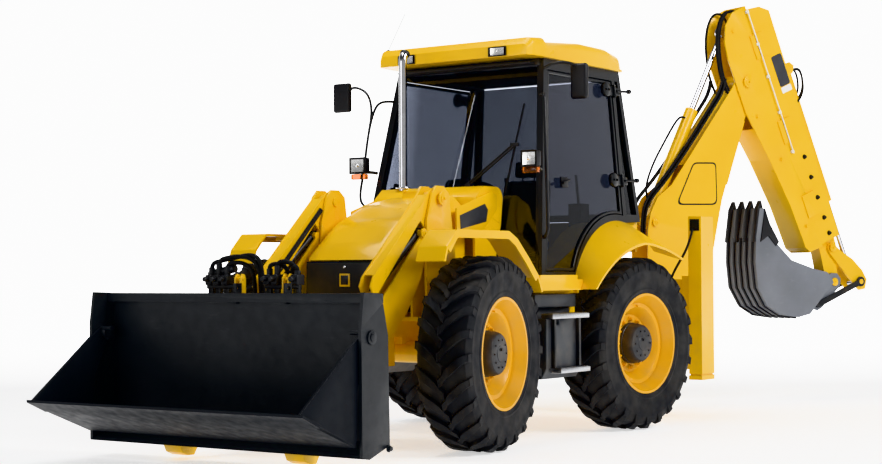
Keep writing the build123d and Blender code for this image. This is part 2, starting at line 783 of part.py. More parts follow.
def cab_roof():
    block = loft([roof_section(*row).face() for row in ROOF_SECTIONS], ruled=True)
    hollow = slab(-330, 1090, -690, 690, 3000, 3090)
    ring = slab(-345, 1120, -735, 735, ROOF_Z, 3050) - slab(-240, 860, -600, 600, 3000, 3100)
    roof = block - hollow + ring
    lamp_way = slab(LAMP_BACK_X, 1200, LAMP_Y - 62, LAMP_Y + 62, LAMP_Z0 - 2, LAMP_Z1 + 2)
    for way in both(lamp_way):
        roof = roof - way
    return roof


def pane(points, thickness):
    """A flat pane through four points, thickness towards the cab's inside."""
    face = make_face(Polyline(*points, close=True))
    return extrude(face, amount=thickness)


def cab_glass(frame):
    """Windscreen, rear window and the two quarter lights."""
    low, top = side_y(1311) - 2, side_y(2960) - 2
    screen = pane([(1250, -low, 1311), (1250, low, 1311), (916, top, 2959), (916, -top, 2959)], 8)
    low, top = side_y(1811) - 2, side_y(2960) - 2
    rear = pane([(-405, -low, 1811), (-405, low, 1811), (-299, top, 2959), (-299, -top, 2959)], 8)
    quarter = panel(inset(make_face(Polyline(*QUARTER_OPENING, close=True)), FIT), -34, -26)
    quarters = [lean(quarter, side) for side in (1, -1)]
    pieces = []
    for piece in [screen, rear] + quarters:
        left = piece - frame
        pieces.append(max(left.solids(), key=lambda solid: solid.volume))
    return pieces


def seat():
    base = slab(60, 420, -170, 170, 1215, 1480)
    cushion = slab(20, 540, -250, 250, 1480, 1620)
    back = side_plate([(20, 1620), (140, 1620), (40, 2280), (-70, 2280)], -240, 240)
    return base + cushion + back


def steering_wheel():
    column = bar((1110, 0, 1190), (900, 0, 1980), 120, 120) + round_bar((903, 0, 1970), (880, 0, 2010), 24)
    ring = Pos(880, 0, 2010) * Rot(0, -15, 0) * Torus(190, 16)
    spokes = Pos(880, 0, 2010) * Rot(0, -15, 0) * (Box(380, 34, 12) + Box(34, 380, 12) + Cylinder(40, 30))
    return column + ring + spokes - slab(800, 1400, -200, 200, 1000, 1190)


def consoles():
    side = slab(800, 1080, -640, -420, 1190, 1700)
    rear_posts = both(slab(-300, -150, 300, 420, 1215, 1900))
    levers = both(round_bar((-225, 360, 1890), (-180, 360, 2150), 12))
    return [side] + [post + lever for post, lever in zip(rear_posts, levers)]


# --------------------------------------------------------------------- side pieces
def side_tank():
    """The left tank between the wheels, hung under the cab."""
    table = [
        (560, 1029), (560, 560), (640, 480), (960, 480), (1010, 560), (1010, 949), (900, 949),
        (900, 1029),
    ]
    tank = front_plate(table, 840, 1370)
    recess = slab(1180, 1240, 985, 1011, 900, 940)
    return tank - recess


def steps():
    upper = slab(890, 1440, 1010, 1110, 950, 985)
    lower = slab(880, 1320, 1010, 1110, 530, 565)
    hangers = slab(900, 930, 1010, 1040, 530, 985) + slab(1270, 1300, 1010, 1040, 530, 985)
    return upper + lower + hangers


def exhaust():
    pipe = upright(1440, -300, 42, 1900, 2900)
    tip = round_bar((1440, -300, 2880), (1400, -300, 3120), 42)
    base = upright(1440, -300, 70, 1900, 2010)
    bend = Pos(1440, -300, 2895) * Sphere(42)
    return pipe + tip + base + bend - side_panel(cowl_face(0), -500, 500)


# -------------------------------------------------------------------------- loader
ARM_OUTLINE = [
    (2110, 1800),
    (2085, 1880),
    (2120, 1940),
    (2190, 1955),
    (2260, 1920),
    (2960, 1280),
    (2995, 1210),
    (2960, 1150),
    (3080, 1020),
    (3290, 760),
    (3650, 260),
    (3676, 180),
    (3650, 95),
    (3585, 72),
    (3510, 110),
    (3240, 400),
    (2960, 640),
    (2760, 830),
    (2560, 1020),
    (2400, 1250),
    (2300, 1480),
    (2230, 1660),
]
ARM_SLOT = [(2390, 1690), (2340, 1640), (2400, 1560), (2860, 1120), (2910, 1110), (2900, 1170)]


def loader_arm():
    """The left arm: two plates tied by spacers, with its pivot tubes."""
    y_in, y_out = ARM_Y - ARM_HALF, ARM_Y + ARM_HALF
    inside = side_plate(ARM_OUTLINE, y_in, y_in + PLATE)
    outside = side_plate(ARM_OUTLINE, y_out - PLATE, y_out)
    slot = side_plate(ARM_SLOT, y_in - 1, y_out + 1)
    arm = inside + outside - slot
    rail_top = side_plate([(2290, 1888), (2940, 1293), (2932, 1284), (2282, 1879)], y_in, y_out)
    arm = arm + rail_top
    arm = arm + cross_pin(ARM_PIVOT, 62, y_in, y_out)
    arm = arm - cross_pin(ARM_PIVOT, 35 + FIT, y_in - 1, y_out + 1)
    arm = arm + cross_pin(TILT_BASE, 24, y_in, y_out)
    for centre, radius in ((CRANK_PIVOT, 24), (SHOVEL_PIVOT, 30)):
        arm = arm + cross_pin(centre, radius, y_in - 8, y_out + 8)
    spacer = side_plate([(3270, 440), (3340, 370), (3360, 400), (3290, 470)], y_in, y_out)
    return arm + spacer


def loader_arms():
    arms = loader_arm()
    y_in = ARM_Y - ARM_HALF
    tube = cross_pin((3210, 620), 70, -y_in, y_in)
    return arms + mirror(arms, about=Plane.XZ) + tube


def bell_crank():
    low, high = CRANK_PIVOT, CRANK_RAM
    body = cross_pin(low, 48, ARM_Y - 13, ARM_Y + 13)
    body = body + bar((low[0], ARM_Y, low[1]), (high[0], ARM_Y, high[1]), 26, 70)
    body = body + cross_pin(high, 36, ARM_Y - 13, ARM_Y + 13)
    body = body + cross_pin(CRANK_LINK, 18, ARM_Y - 36, ARM_Y + 36)
    return body - cross_pin(low, 24 + FIT, ARM_Y - 20, ARM_Y + 20)


def shovel_link():
    """The left link between the crank and the shovel: two bars and a tie.

    Each bar is waisted behind, where it passes the crank's pivot."""
    link = None
    length = spread(CRANK_LINK, SHOVEL_LUG)
    along = [(SHOVEL_LUG[i] - CRANK_LINK[i]) / length for i in (0, 1)]
    edge = [(0, 30), (length, 30), (length, -30), (400, -30), (330, -8), (150, -8), (90, -30), (0, -30)]
    outline = [
        (CRANK_LINK[0] + a * along[0] - b * along[1], CRANK_LINK[1] + a * along[1] + b * along[0])
        for a, b in edge
    ]
    for y in (ARM_Y - 28, ARM_Y + 28):
        piece = side_plate(outline, y - 7, y + 7)
        piece = piece + cross_pin(CRANK_LINK, 34, y - 7, y + 7) + cross_pin(SHOVEL_LUG, 34, y - 7, y + 7)
        link = piece if link is None else link + piece
    middle = [(CRANK_LINK[i] + SHOVEL_LUG[i]) / 2 for i in (0, 1)]
    link = link + cross_pin(middle, 24, ARM_Y - 30, ARM_Y + 30)
    for centre in (CRANK_LINK, SHOVEL_LUG):
        link = link - cross_pin(centre, 18 + FIT, ARM_Y - 50, ARM_Y + 50)
    return link


LIFT_BARREL = 725
LIFT_RING = 46
TILT_BARREL = 585
TILT_RING = 40


def lift_ram_barrel():
    barrel = ram_barrel(LIFT_BASE, LIFT_EYE, ARM_Y, LIFT_BARREL, 37, LIFT_RING, 28 + FIT, 30)
    return barrel + guide_ring(LIFT_BASE, LIFT_EYE, ARM_Y, LIFT_BARREL, 37, 20)


def lift_ram_rod():
    start = rod_start(LIFT_RING, LIFT_STROKE) + 78
    return ram_rod(LIFT_BASE, LIFT_EYE, ARM_Y, start, 20, 42, 22)


def tilt_ram_barrel():
    barrel = ram_barrel(TILT_BASE, CRANK_RAM, ARM_Y, TILT_BARREL, 34, TILT_RING, 24 + FIT, 28)
    return barrel + guide_ring(TILT_BASE, CRANK_RAM, ARM_Y, TILT_BARREL, 34, 17)


def tilt_ram_rod():
    """Rod with a fork that stands either side of the crank's head."""
    base, eye = TILT_BASE, CRANK_RAM
    first = step_towards(base, eye, rod_start(TILT_RING, TILT_STROKE))
    neck = step_towards(base, eye, spread(base, eye) - 80)
    rod = round_bar((first[0], ARM_Y, first[1]), (neck[0], ARM_Y, neck[1]), 17)
    block_end = step_towards(base, eye, spread(base, eye) - 52)
    rod = rod + bar((neck[0], ARM_Y, neck[1]), (block_end[0], ARM_Y, block_end[1]), 76, 50)
    for y in (ARM_Y - 30, ARM_Y + 30):
        rod = rod + bar((neck[0], y, neck[1]), (eye[0], y, eye[1]), 14, 50)
        rod = rod + cross_pin(eye, 25, y - 7, y + 7)
    return rod


SHOVEL_CHEEK = [
    (3750, 1100), (3800, 1175), (3955, 1180), (3985, 950), (3975, 125), (3900, 110), (3685, 185),
    (3700, 900),
]
SHOVEL_BACK = [(3700, 180), (3716, 180), (3775, 1170), (3759, 1170)]
SHOVEL_SOLE = [(3685, 185), (3700, 207), (3960, 140), (3975, 120), (3900, 112)]


LIFTING_LUG_Y = (0, 450)


def shovel():
    inner = SHOVEL_HALF - CHEEK
    body = side_plate(SHOVEL_BACK, -SHOVEL_HALF, SHOVEL_HALF)
    body = body + side_plate(SHOVEL_SOLE, -SHOVEL_HALF, SHOVEL_HALF)
    body = body + slab(3750, 3830, -SHOVEL_HALF, SHOVEL_HALF, 1110, 1172)
    for piece in both(side_plate(SHOVEL_CHEEK, inner, SHOVEL_HALF)):
        body = body + piece
    ear = [
        (SHOVEL_PIVOT[0] - 45, SHOVEL_PIVOT[1] - 20),
        (SHOVEL_PIVOT[0], SHOVEL_PIVOT[1] - 50),
        (3690, 188),
        (3712, SHOVEL_LUG[1] + 60),
        (SHOVEL_LUG[0] - 20, SHOVEL_LUG[1] + 40),
        (SHOVEL_LUG[0] - 45, SHOVEL_LUG[1]),
    ]
    ear_plate = side_plate(ear, ARM_Y - 15, ARM_Y + 15)
    ear_plate = ear_plate - cross_pin(SHOVEL_PIVOT, 30 + FIT, ARM_Y - 16, ARM_Y + 16)
    for piece in both(ear_plate):
        body = body + piece
    for y in LIFTING_LUG_Y:
        lug = side_plate([(3745, 1100), (3745, 1240), (3805, 1240), (3805, 1100)], y - 12, y + 12)
        body = body + lug - cross_pin((3775, 1205), 15, y - 13, y + 13)
    for piece in both(cross_pin(SHOVEL_LUG, 18, ARM_Y - 36, ARM_Y + 36)):
        body = body + piece
    for piece in both(cross_pin(CLAM_PIVOT, 34, inner - 31, SHOVEL_HALF)):
        body = body + piece
    return body


CLAM_SIDE = [
    (3830, 900), (3850, 940), (3890, 945), (4030, 850), (4560, 435), (4430, 378), (4010, 200),
    (3995, 240), (3990, 560), (3840, 850),
]
CLAM_FLOOR = [(3998, 208), (4010, 190), (4430, 358), (4566, 425), (4566, 440), (4425, 384)]


def shovel_clam():
    y_out = SHOVEL_HALF - CHEEK - GAP
    body = side_plate(CLAM_FLOOR, -y_out, y_out)
    body = body + side_plate([
        (4400, 347), (4569, 424), (4569, 442), (4392, 368),
    ], -SHOVEL_HALF, SHOVEL_HALF)
    way = cross_pin(CLAM_PIVOT, 34 + FIT, y_out - 40, y_out + 10)
    for piece in both(side_plate(CLAM_SIDE, y_out - 22, y_out) - way):
        body = body + piece
    return body


# ------------------------------------------------------------------------- backhoe
def behind(table):
    """Backhoe points (s, z) as machine points (x, z), backhoe straight."""
    return [(KING_X - s, z) for s, z in table]


def at(point):
    return (KING_X - point[0], point[1])


def slewed(piece):
    return turned(piece, (KING_X, 0), SLEW_DEG)


def dipper_point(a, b):
    """A point a along the dipper from its pivot and b towards its back, as (s, z)."""
    t = radians(DIPPER_DEG)
    return (
        DIPPER_PIVOT[0] + a * cos(t) - b * sin(t),
        DIPPER_PIVOT[1] + a * sin(t) + b * cos(t),
    )


def dipper_table(table):
    return behind([dipper_point(a, b) for a, b in table])


BUCKET_PIVOT = dipper_point(2285, 313)
LEVER_PIVOT = dipper_point(1950, 420)
LEVER_END = dipper_point(2420, 635)
CROWD_BASE = dipper_point(70, 640)


def carriage():
    """The sliding backplate that carries the kingpost."""
    plate = slab(SHIFT_X - 80, SHIFT_X - FIT, -330, 330, 440, 1270)
    hook_top = slab(SHIFT_X - 80, SHIFT_X + 40, -330, 330, 1240 + FIT, 1290)
    hook_low = slab(SHIFT_X - 80, SHIFT_X + 40, -330, 330, 420, 470 - FIT)
    body = plate + hook_top + hook_low
    for z0, z1 in ((1110, 1180), (505, 565)):
        body = body + slab(KING_X, SHIFT_X - 70, -110, 110, z0, z1) + upright(KING_X, 0, 110, z0, z1)
    return body + upright(KING_X, 0, KING_PIN, 495, 1190)


KING_PIN = 45


def kingpost():
    body = slab(KING_X - 300, KING_X, -105, 105, 575, 1100) + upright(KING_X, 0, 105, 575, 1100)
    ears = [(270, 600), (270, 1100), (380, 1140), (460, 1140), (520, 1060), (520, 720), (440, 640)]
    for y0, y1 in ((-105, -65), (65, 105)):
        body = body + side_plate(behind(ears), y0, y1)
    body = body + cross_pin(at(BOOM_PIVOT), 32, -BOOM_HALF - 12, BOOM_HALF + 12)
    body = body + cross_pin(at(BOOM_RAM_BASE), 30, -100, 100)
    return body - upright(KING_X, 0, KING_PIN + FIT, 560, 1110)


BOOM_OUTLINE = [
    (340, 960),
    (250, 1150),
    (190, 1400),
    (190, 1700),
    (230, 1880),
    (310, 2020),
    (480, 2140),
    (830, 2580),
    (1260, 3130),
    (1330, 3290),
    (1430, 3320),
    (1530, 3260),
    (1550, 3150),
    (1500, 2980),
    (1400, 2820),
    (1240, 2400),
    (1100, 2010),
    (1020, 1670),
    (960, 1400),
    (800, 1120),
    (560, 940),
    (430, 920),
]


def boom():
    body = None
    for y0 in (-BOOM_HALF, BOOM_HALF - BOOM_PLATE):
        piece = side_plate(behind(BOOM_OUTLINE), y0, y0 + BOOM_PLATE)
        body = piece if body is None else body + piece
    strips = [
        [(640, 2342), (1236, 3100), (1250, 3089), (654, 2331)],
        [(1168, 2160), (1244, 2370), (1400, 2790), (1386, 2795), (1230, 2375), (1154, 2165)],
        [(560, 2150), (1100, 2130), (1105, 2146), (565, 2166)],
    ]
    for table in strips:
        body = body + side_plate(behind(table), -BOOM_HALF, BOOM_HALF)
    body = body + cross_pin(at(DIPPER_PIVOT), 75, -BOOM_HALF, BOOM_HALF)
    body = body + cross_pin(at(DIPPER_RAM_BASE), 30, -BOOM_HALF - 10, BOOM_HALF + 10)
    body = body - cross_pin(at(DIPPER_PIVOT), 38 + FIT, -BOOM_HALF - 1, BOOM_HALF + 1)
    for y0, y1 in ((-BOOM_HALF - 1, -106), (106, BOOM_HALF + 1)):
        body = body - cross_pin(at(BOOM_PIVOT), 32 + FIT, y0, y1)
    return body


# along the dipper, across it
DIPPER_OUTLINE = [
    (-700, 272),
    (-690, 90),
    (-600, -40),
    (-450, -115),
    (-280, -143),
    (280, -139),
    (810, -40),
    (1330, 30),
    (1800, 50),
    (1860, 90),
    (1870, 272),
]


def dipper():
    body = None
    y_in = BOOM_HALF + GAP
    for y0, y1 in ((-DIPPER_HALF, -y_in), (y_in, DIPPER_HALF)):
        piece = side_plate(dipper_table(DIPPER_OUTLINE), y0, y1)
        body = piece if body is None else body + piece
    back = [(-700, 272), (-700, 256), (1870, 256), (1870, 272)]
    front = [
        (460, -106), (810, -40), (1330, 30), (1800, 50), (1860, 90), (1850, 104), (1795, 66),
        (1326, 46), (806, -24), (456, -90),
    ]
    for table in (back, front):
        body = body + side_plate(dipper_table(table), -y_in, y_in)
    for a in (500, 1850):
        body = body + side_plate(dipper_table([
            (a, -90 if a < 1000 else 80), (a + 16, -86 if a < 1000 else 84), (a + 16, 260),
            (a, 260),
        ]), -y_in, y_in)
    body = body + cross_pin(at(DIPPER_PIVOT), 38, -DIPPER_HALF - 14, DIPPER_HALF + 14)
    return body


def dipper_guides():
    """Keeper strips fixed to the dipper, which hold the extension to its back."""
    pieces = []
    for a0 in (-400, 500, 1300):
        table = [(a0, 200), (a0 + 240, 200), (a0 + 240, 360), (a0, 360)]
        for y0, y1 in ((DIPPER_HALF, DIPPER_HALF + 16), (-DIPPER_HALF - 16, -DIPPER_HALF)):
            pieces.append(side_plate(dipper_table(table), y0, y1))
    return pieces


def dipper_extension():
    half = DIPPER_HALF - FIT
    body = side_plate(dipper_table([
        (-660, 272 + FIT), (-636, 440), (-560, 550), (1850, 523), (1850, 272 + FIT),
    ]), -half, half)
    core = side_plate(dipper_table([
        (-645, 284), (-622, 434), (-552, 537), (1830, 510), (1830, 284),
    ]), -half + 12, half - 12)
    body = body - core
    nose = [
        (1830, 290), (1830, 522), (2040, 505), (2110, 440), (2330, 390), (2370, 330), (2350, 260),
        (2250, 235), (1960, 280),
    ]
    body = body + side_plate(dipper_table(nose), -70, 70)
    ears = [(20, 530), (20, 660), (70, 700), (130, 660), (170, 530)]
    for y0, y1 in ((-84, -58), (58, 84)):
        body = body + side_plate(dipper_table(ears), y0, y1)
    body = body + cross_pin(at(CROWD_BASE), 28, -84, 84)
    body = body + cross_pin(at(LEVER_PIVOT), 28, -112, 112)
    body = body + cross_pin(at(BUCKET_PIVOT), 30, -100, 100)
    return body


def tipping_lever():
    body = None
    start, end = at(LEVER_PIVOT), at(LEVER_END)
    outline = [
        (1905, 440), (1910, 395), (1940, 372), (2000, 380), (2330, 520), (2500, 600), (2520, 680),
        (2440, 740), (2330, 720), (2170, 640), (2040, 530), (1930, 465),
    ]
    for y0, y1 in ((-98, -76), (76, 98)):
        piece = side_plate(dipper_table(outline), y0, y1)
        body = piece if body is None else body + piece
    for y0, y1 in ((-132, -76), (76, 132)):
        body = body + cross_pin(end, 26, y0, y1)
    return body - cross_pin(start, 28 + FIT, -110, 110)


def tipping_link():
    body = None
    start, end = at(LEVER_END), at(BUCKET_LINK_PIN)
    for y0, y1 in ((-128, -106), (106, 128)):
        y = (y0 + y1) / 2
        piece = bar((start[0], y, start[1]), (end[0], y, end[1]), 22, 56)
        piece = piece + cross_pin(start, 50, y0, y1) + cross_pin(end, 30, y0, y1)
        body = piece if body is None else body + piece
    body = body - cross_pin(start, 26 + FIT, -140, 140)
    return body


# the bucket's back and floor from its lip to its ears, (s, z)
BUCKET_SKIN = [
    (1500, 1930),
    (1450, 1640),
    (1440, 1400),
    (1470, 1150),
    (1590, 970),
    (1760, 880),
    (2000, 850),
    (2150, 880),
    (2270, 1000),
    (2400, 1130),
    (2470, 1190),
]


def digging_bucket():
    body = side_plate(behind(BUCKET_SKIN + offset_line(BUCKET_SKIN, 16)[::-1]), -BUCKET_HALF, BUCKET_HALF)
    side = BUCKET_SKIN + [
        (2440, 1260), (2380, 1300), (2220, 1330), (1910, 1420), (1700, 1600), (1640, 1700),
        (1560, 1930),
    ]
    for y0, y1 in ((-BUCKET_HALF, -BUCKET_HALF + 14), (BUCKET_HALF - 14, BUCKET_HALF)):
        body = body + side_plate(behind(side), y0, y1)
    ear = [
        (2300, 1000), (2310, 930), (2370, 910), (2430, 940), (2680, 1160), (2690, 1230),
        (2640, 1285), (2560, 1290), (2420, 1160),
    ]
    for y0, y1 in ((-100, -76), (76, 100)):
        body = body + side_plate(behind(ear), y0, y1)
    body = body - cross_pin(at(BUCKET_PIVOT), 30 + FIT, -110, 110)
    rib = BUCKET_SKIN[1:7]
    for y in (-180, -90, 0, 90, 180):
        body = body + side_plate(behind(rib + offset_line(rib, -14)[::-1]), y - 9, y + 9)
    for y in (-195, -65, 65, 195):
        tooth = [(1455, 1600), (1500, 1600), (1560, 1930), (1540, 2010), (1500, 1930)]
        body = body + side_plate(behind([(s - 20, z) for s, z in tooth]), y - 26, y + 26)
    return body


# base, eye, stroke, barrel length and radius, base ring and bore, rod, eye ring, half widths
BACKHOE_RAMS = {
    "boom": (BOOM_RAM_BASE, BOOM_RAM_EYE, BOOM_STROKE, 660, 55, 55, 30, 30, 55, 50, 45),
    "dipper": (DIPPER_RAM_BASE, DIPPER_RAM_EYE, DIPPER_STROKE, 1235, 62, 60, 30, 30, 58, 50, 45),
    "crowd": (CROWD_BASE, LEVER_END, CROWD_STROKE, 1450, 52, 50, 28, 26, 45, 44, 40),
}


def backhoe_ram(row):
    """The barrel and the rod of one of the digging arm's cylinders."""
    base, eye, stroke, length, radius, ring, bore, rod, eye_ring, base_half, eye_half = row
    base, eye = at(base), at(eye)
    barrel = ram_barrel(base, eye, 0, length, radius, ring, bore + FIT, base_half)
    barrel = barrel + guide_ring(base, eye, 0, length, radius, rod)
    start = rod_start(ring, stroke)
    return barrel, ram_rod(base, eye, 0, start, rod, eye_ring, eye_half)


# --------------------------------------------------------------------------- fittings
def roof_lamps():
    return both(slab(LAMP_BACK_X, 1182, LAMP_Y - 60, LAMP_Y + 60, LAMP_Z0, LAMP_Z1))


def mirrors(frame):
    right = slab(1085, 1135, -1290, -1110, 2700, 2930)
    stay = bar((1110, -1200, 2700), (1110, -1130, 2500), 24, 24)
    arm = bar((1110, -1135, 2510), (1000, -760, 2480), 24, 24)
    return [right + stay + arm - frame]


def main():
    os.makedirs("parts", exist_ok=True)
    wheels()
    save("axles", axle(WHEELBASE), axle(0))
    guards = both(front_guard()) + both(rear_guard())
    ladder = main_frame()
    for guard in guards[:2]:
        ladder = ladder - guard
    save("main_frame", ladder, tow_jaw())
    save("rear_frame", rear_frame())
    save("left_stabiliser_leg", stabiliser_leg())
    save("right_stabiliser_leg", mirror(stabiliser_leg(), about=Plane.XZ))
    save("engine_block", slab(1500, 2350, -245, 245, RAIL_Z0 + 70, 1450))
    save("bonnet", bonnet())
    save("grille", grille())
    save("mudguards", *guards)
    frame = cab_frame()
    base = cab_floor() - frame
    for guard in guards:
        base = base - guard
    save("cab_frame", frame)
    save("cab_base", base, cowl())
    save("cab_roof", cab_roof())
    save("cab_glass", *cab_glass(frame))
    for name, side in (("left", 1), ("right", -1)):
        save(f"{name}_door", cab_door(side))
        save(f"{name}_door_glass", door_glass(side))
    save("seat", seat())
    save("steering_wheel", steering_wheel())
    save("consoles", *consoles())
    save("side_tanks", *both(side_tank()))
    save("steps", *both(steps()))
    save("exhaust_stack", exhaust())
    save("loader_arms", loader_arms())
    save("bell_cranks", *both(bell_crank()))
    save("shovel_links", *both(shovel_link()))
    save("lift_ram_barrels", *both(lift_ram_barrel()))
    save("lift_ram_rods", *both(lift_ram_rod()))
    save("tilt_ram_barrels", *both(tilt_ram_barrel()))
    save("tilt_ram_rods", *both(tilt_ram_rod()))
    save("shovel", shovel())
    save("shovel_clam", shovel_clam())
    save("sideshift_carriage", carriage())
    save("kingpost", slewed(kingpost()))
    save("boom", slewed(boom()))
    body = dipper()
    for piece in dipper_guides():
        body = body + piece
    save("dipper", slewed(body))
    save("dipper_extension", slewed(dipper_extension()))
    save("tipping_lever", slewed(tipping_lever()))
    save("tipping_link", slewed(tipping_link()))
    save("digging_bucket", slewed(digging_bucket()))
    for name, row in BACKHOE_RAMS.items():
        barrel, rod = backhoe_ram(row)
        save(f"{name}_ram_barrel", slewed(barrel))
        save(f"{name}_ram_rod", slewed(rod))
    save("roof_lamps", *roof_lamps())
    save("mirrors", *mirrors(frame))


if __name__ == "__main__":
    main()
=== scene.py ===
"""The looks of a backhoe loader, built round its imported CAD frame.

Metres, X forwards from the rear axle, Y to the machine's left, Z up from the ground.
"""

import json
from math import atan2, cos, exp, pi, radians, sin, tan, tau

import bmesh
import bpy
from mathutils import Euler, Matrix, Vector

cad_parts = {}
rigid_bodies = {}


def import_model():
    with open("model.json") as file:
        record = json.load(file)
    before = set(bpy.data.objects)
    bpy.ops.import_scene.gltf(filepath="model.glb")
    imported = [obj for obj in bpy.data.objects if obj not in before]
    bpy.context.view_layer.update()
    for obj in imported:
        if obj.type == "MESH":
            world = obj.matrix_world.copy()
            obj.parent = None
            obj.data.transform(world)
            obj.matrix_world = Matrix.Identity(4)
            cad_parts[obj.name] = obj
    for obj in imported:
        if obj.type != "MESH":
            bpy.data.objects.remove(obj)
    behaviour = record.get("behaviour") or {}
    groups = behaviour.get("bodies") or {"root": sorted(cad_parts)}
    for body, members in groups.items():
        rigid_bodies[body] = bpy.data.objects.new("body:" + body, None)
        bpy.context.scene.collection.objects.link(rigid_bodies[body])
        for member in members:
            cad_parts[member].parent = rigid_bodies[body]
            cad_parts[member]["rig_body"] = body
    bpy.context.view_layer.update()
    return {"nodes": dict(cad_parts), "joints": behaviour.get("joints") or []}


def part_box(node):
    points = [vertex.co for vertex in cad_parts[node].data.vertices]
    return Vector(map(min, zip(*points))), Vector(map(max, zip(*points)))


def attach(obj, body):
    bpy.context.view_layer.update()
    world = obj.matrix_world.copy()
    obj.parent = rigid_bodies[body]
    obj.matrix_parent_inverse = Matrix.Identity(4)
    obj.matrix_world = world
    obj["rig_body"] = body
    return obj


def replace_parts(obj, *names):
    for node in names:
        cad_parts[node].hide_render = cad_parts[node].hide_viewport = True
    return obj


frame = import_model()
JOINTS = {joint["name"]: joint for joint in frame["joints"]}
NODES = frame["nodes"]
SIDES = ((1, "left"), (-1, "right"))
WHEELS = [(f"{end}_{word}", side) for end in ("front", "rear") for side, word in SIDES]


# --- node helpers
def fill(tree, node, values):
    """Sets a node's inputs from a table; what is a socket is linked."""
    for key, value in values.items():
        if isinstance(value, bpy.types.NodeSocket):
            tree.links.new(value, node.inputs[key])
        else:
            node.inputs[key].default_value = value


def new_node(tree, kind, values, **settings):
    """A shader node with its settings and inputs."""
    node = tree.nodes.new("ShaderNode" + kind)
    for name, value in settings.items():
        setattr(node, name, value)
    fill(tree, node, values)
    return node


def new_material(name):
    """A material with an empty tree but for its shader and output."""
    material = bpy.data.materials.new(name)
    material.use_nodes = True
    tree = material.node_tree
    return material, tree, tree.nodes["Principled BSDF"]


def where(tree, kind="Object"):
    """The socket of the point's coordinates."""
    return new_node(tree, "TexCoord", {}).outputs[kind]


def noise(tree, scale, detail=4.0, stretch=(1, 1, 1)):
    """A noise pattern in metres on Object coordinates; returns its value socket."""
    place = new_node(tree, "Mapping", {"Vector": where(tree), "Scale": stretch}).outputs["Vector"]
    values = {"Vector": place, "Scale": scale, "Detail": detail}
    return new_node(tree, "TexNoise", values).outputs["Fac"]


def ramp(tree, value, stops):
    """Colour stops over a value, as rows of (position, grey or colour)."""
    node = new_node(tree, "ValToRGB", {"Fac": value})
    elements = node.color_ramp.elements
    while len(elements) < len(stops):
        elements.new(0.5)
    for element, (position, colour) in zip(elements, stops):
        element.position = position
        shade = colour if isinstance(colour, tuple) else (colour,) * 3
        element.color = (*shade, 1)
    return node.outputs["Color"]


def mottled(tree, scale, detail, stops, stretch=(1, 1, 1)):
    """Colour stops over a noise pattern."""
    return ramp(tree, noise(tree, scale, detail, stretch), stops)


# the colour sockets of a mix node
MIX_FIRST, MIX_SECOND, MIX_OUT = 6, 7, 2


def blended(tree, share, first, second):
    """A mix of two colours or colour sockets by a share socket."""
    values = {"Factor": share}
    for key, value in ((MIX_FIRST, first), (MIX_SECOND, second)):
        values[key] = (*value, 1) if isinstance(value, tuple) else value
    return new_node(tree, "Mix", values, data_type="RGBA").outputs[MIX_OUT]


def bump(tree, height, strength, distance):
    """The normal of a relief that is distance deep."""
    values = {"Strength": strength, "Distance": distance, "Height": height}
    return new_node(tree, "Bump", values).outputs["Normal"]


def times(tree, first, second):
    """The product of two value sockets."""
    return new_node(tree, "Math", {0: first, 1: second}, operation="MULTIPLY").outputs[0]


def fading(tree, value, start, end, first, last):
    """A value that goes from first to last while another goes from start to end."""
    values = {"Value": value, "From Min": start, "From Max": end, "To Min": first, "To Max": last}
    return new_node(tree, "MapRange", values).outputs["Result"]


def below(tree, full, none, axis="Z"):
    """A share that is 1 below full on an axis and fades to 0 at none."""
    split = new_node(tree, "SeparateXYZ", {"Vector": where(tree)})
    return fading(tree, split.outputs[axis], full, none, 1, 0)


def facing(tree, place, direction):
    """How far a place lies in a direction."""
    node = new_node(tree, "VectorMath", {0: place, 1: direction}, operation="DOT_PRODUCT")
    return node.outputs["Value"]


# --- materials
DUST = (0.33, 0.27, 0.19)
TYRE_DUST = (0.16, 0.145, 0.12)


def toned(colour, share):
    """The colour made lighter or darker by a share."""
    return tuple(share * c for c in colour)


def paint(name, colour, deep, roughness, coat):
    """Gloss machine enamel: uneven tone, orange peel, and a film of dust low down."""
    material, tree, shader = new_material(name)
    body = blended(tree, mottled(tree, 2.2, 4.0, [(0.35, 0.0), (0.7, 1.0)]), colour, deep)
    dust = mottled(tree, 7.0, 8.0, [(0.46, 0.0), (0.8, 0.24)])
    fill(tree, shader, {
        "Base Color": blended(tree, times(tree, dust, below(tree, 0.5, 1.5)), body, DUST),
        "Roughness": mottled(tree, 5.0, 6.0, [(0.3, roughness), (0.75, roughness + 0.14)]),
        "Coat Weight": coat,
        "Coat Roughness": 0.08,
        "Normal": bump(tree, noise(tree, 260.0, 2.0), 0.12, 0.0006),
    })
    return material


def scuffed_steel_paint(name, colour, bare, wear, specular=0.5):
    """Dark paint on a working tool, faintly rubbed towards bare metal."""
    material, tree, shader = new_material(name)
    strokes = mottled(tree, 14.0, 10.0, [(0.6, 0.0), (0.8, wear)], (1.0, 0.5, 2.2))
    rubbed = times(tree, strokes, mottled(tree, 3.1, 6.0, [(0.38, 0.15), (0.7, 1.0)]))
    tone = mottled(tree, 1.7, 4.0, [(0.3, colour), (0.75, toned(colour, 1.5))])
    fill(tree, shader, {
        "Base Color": blended(tree, rubbed, tone, bare),
        "Roughness": mottled(tree, 14.0, 8.0, [(0.3, 0.33), (0.8, 0.55)]),
        "Metallic": rubbed,
        "Specular IOR Level": specular,
        "Normal": bump(tree, noise(tree, 120.0, 5.0), 0.18, 0.001),
    })
    return material


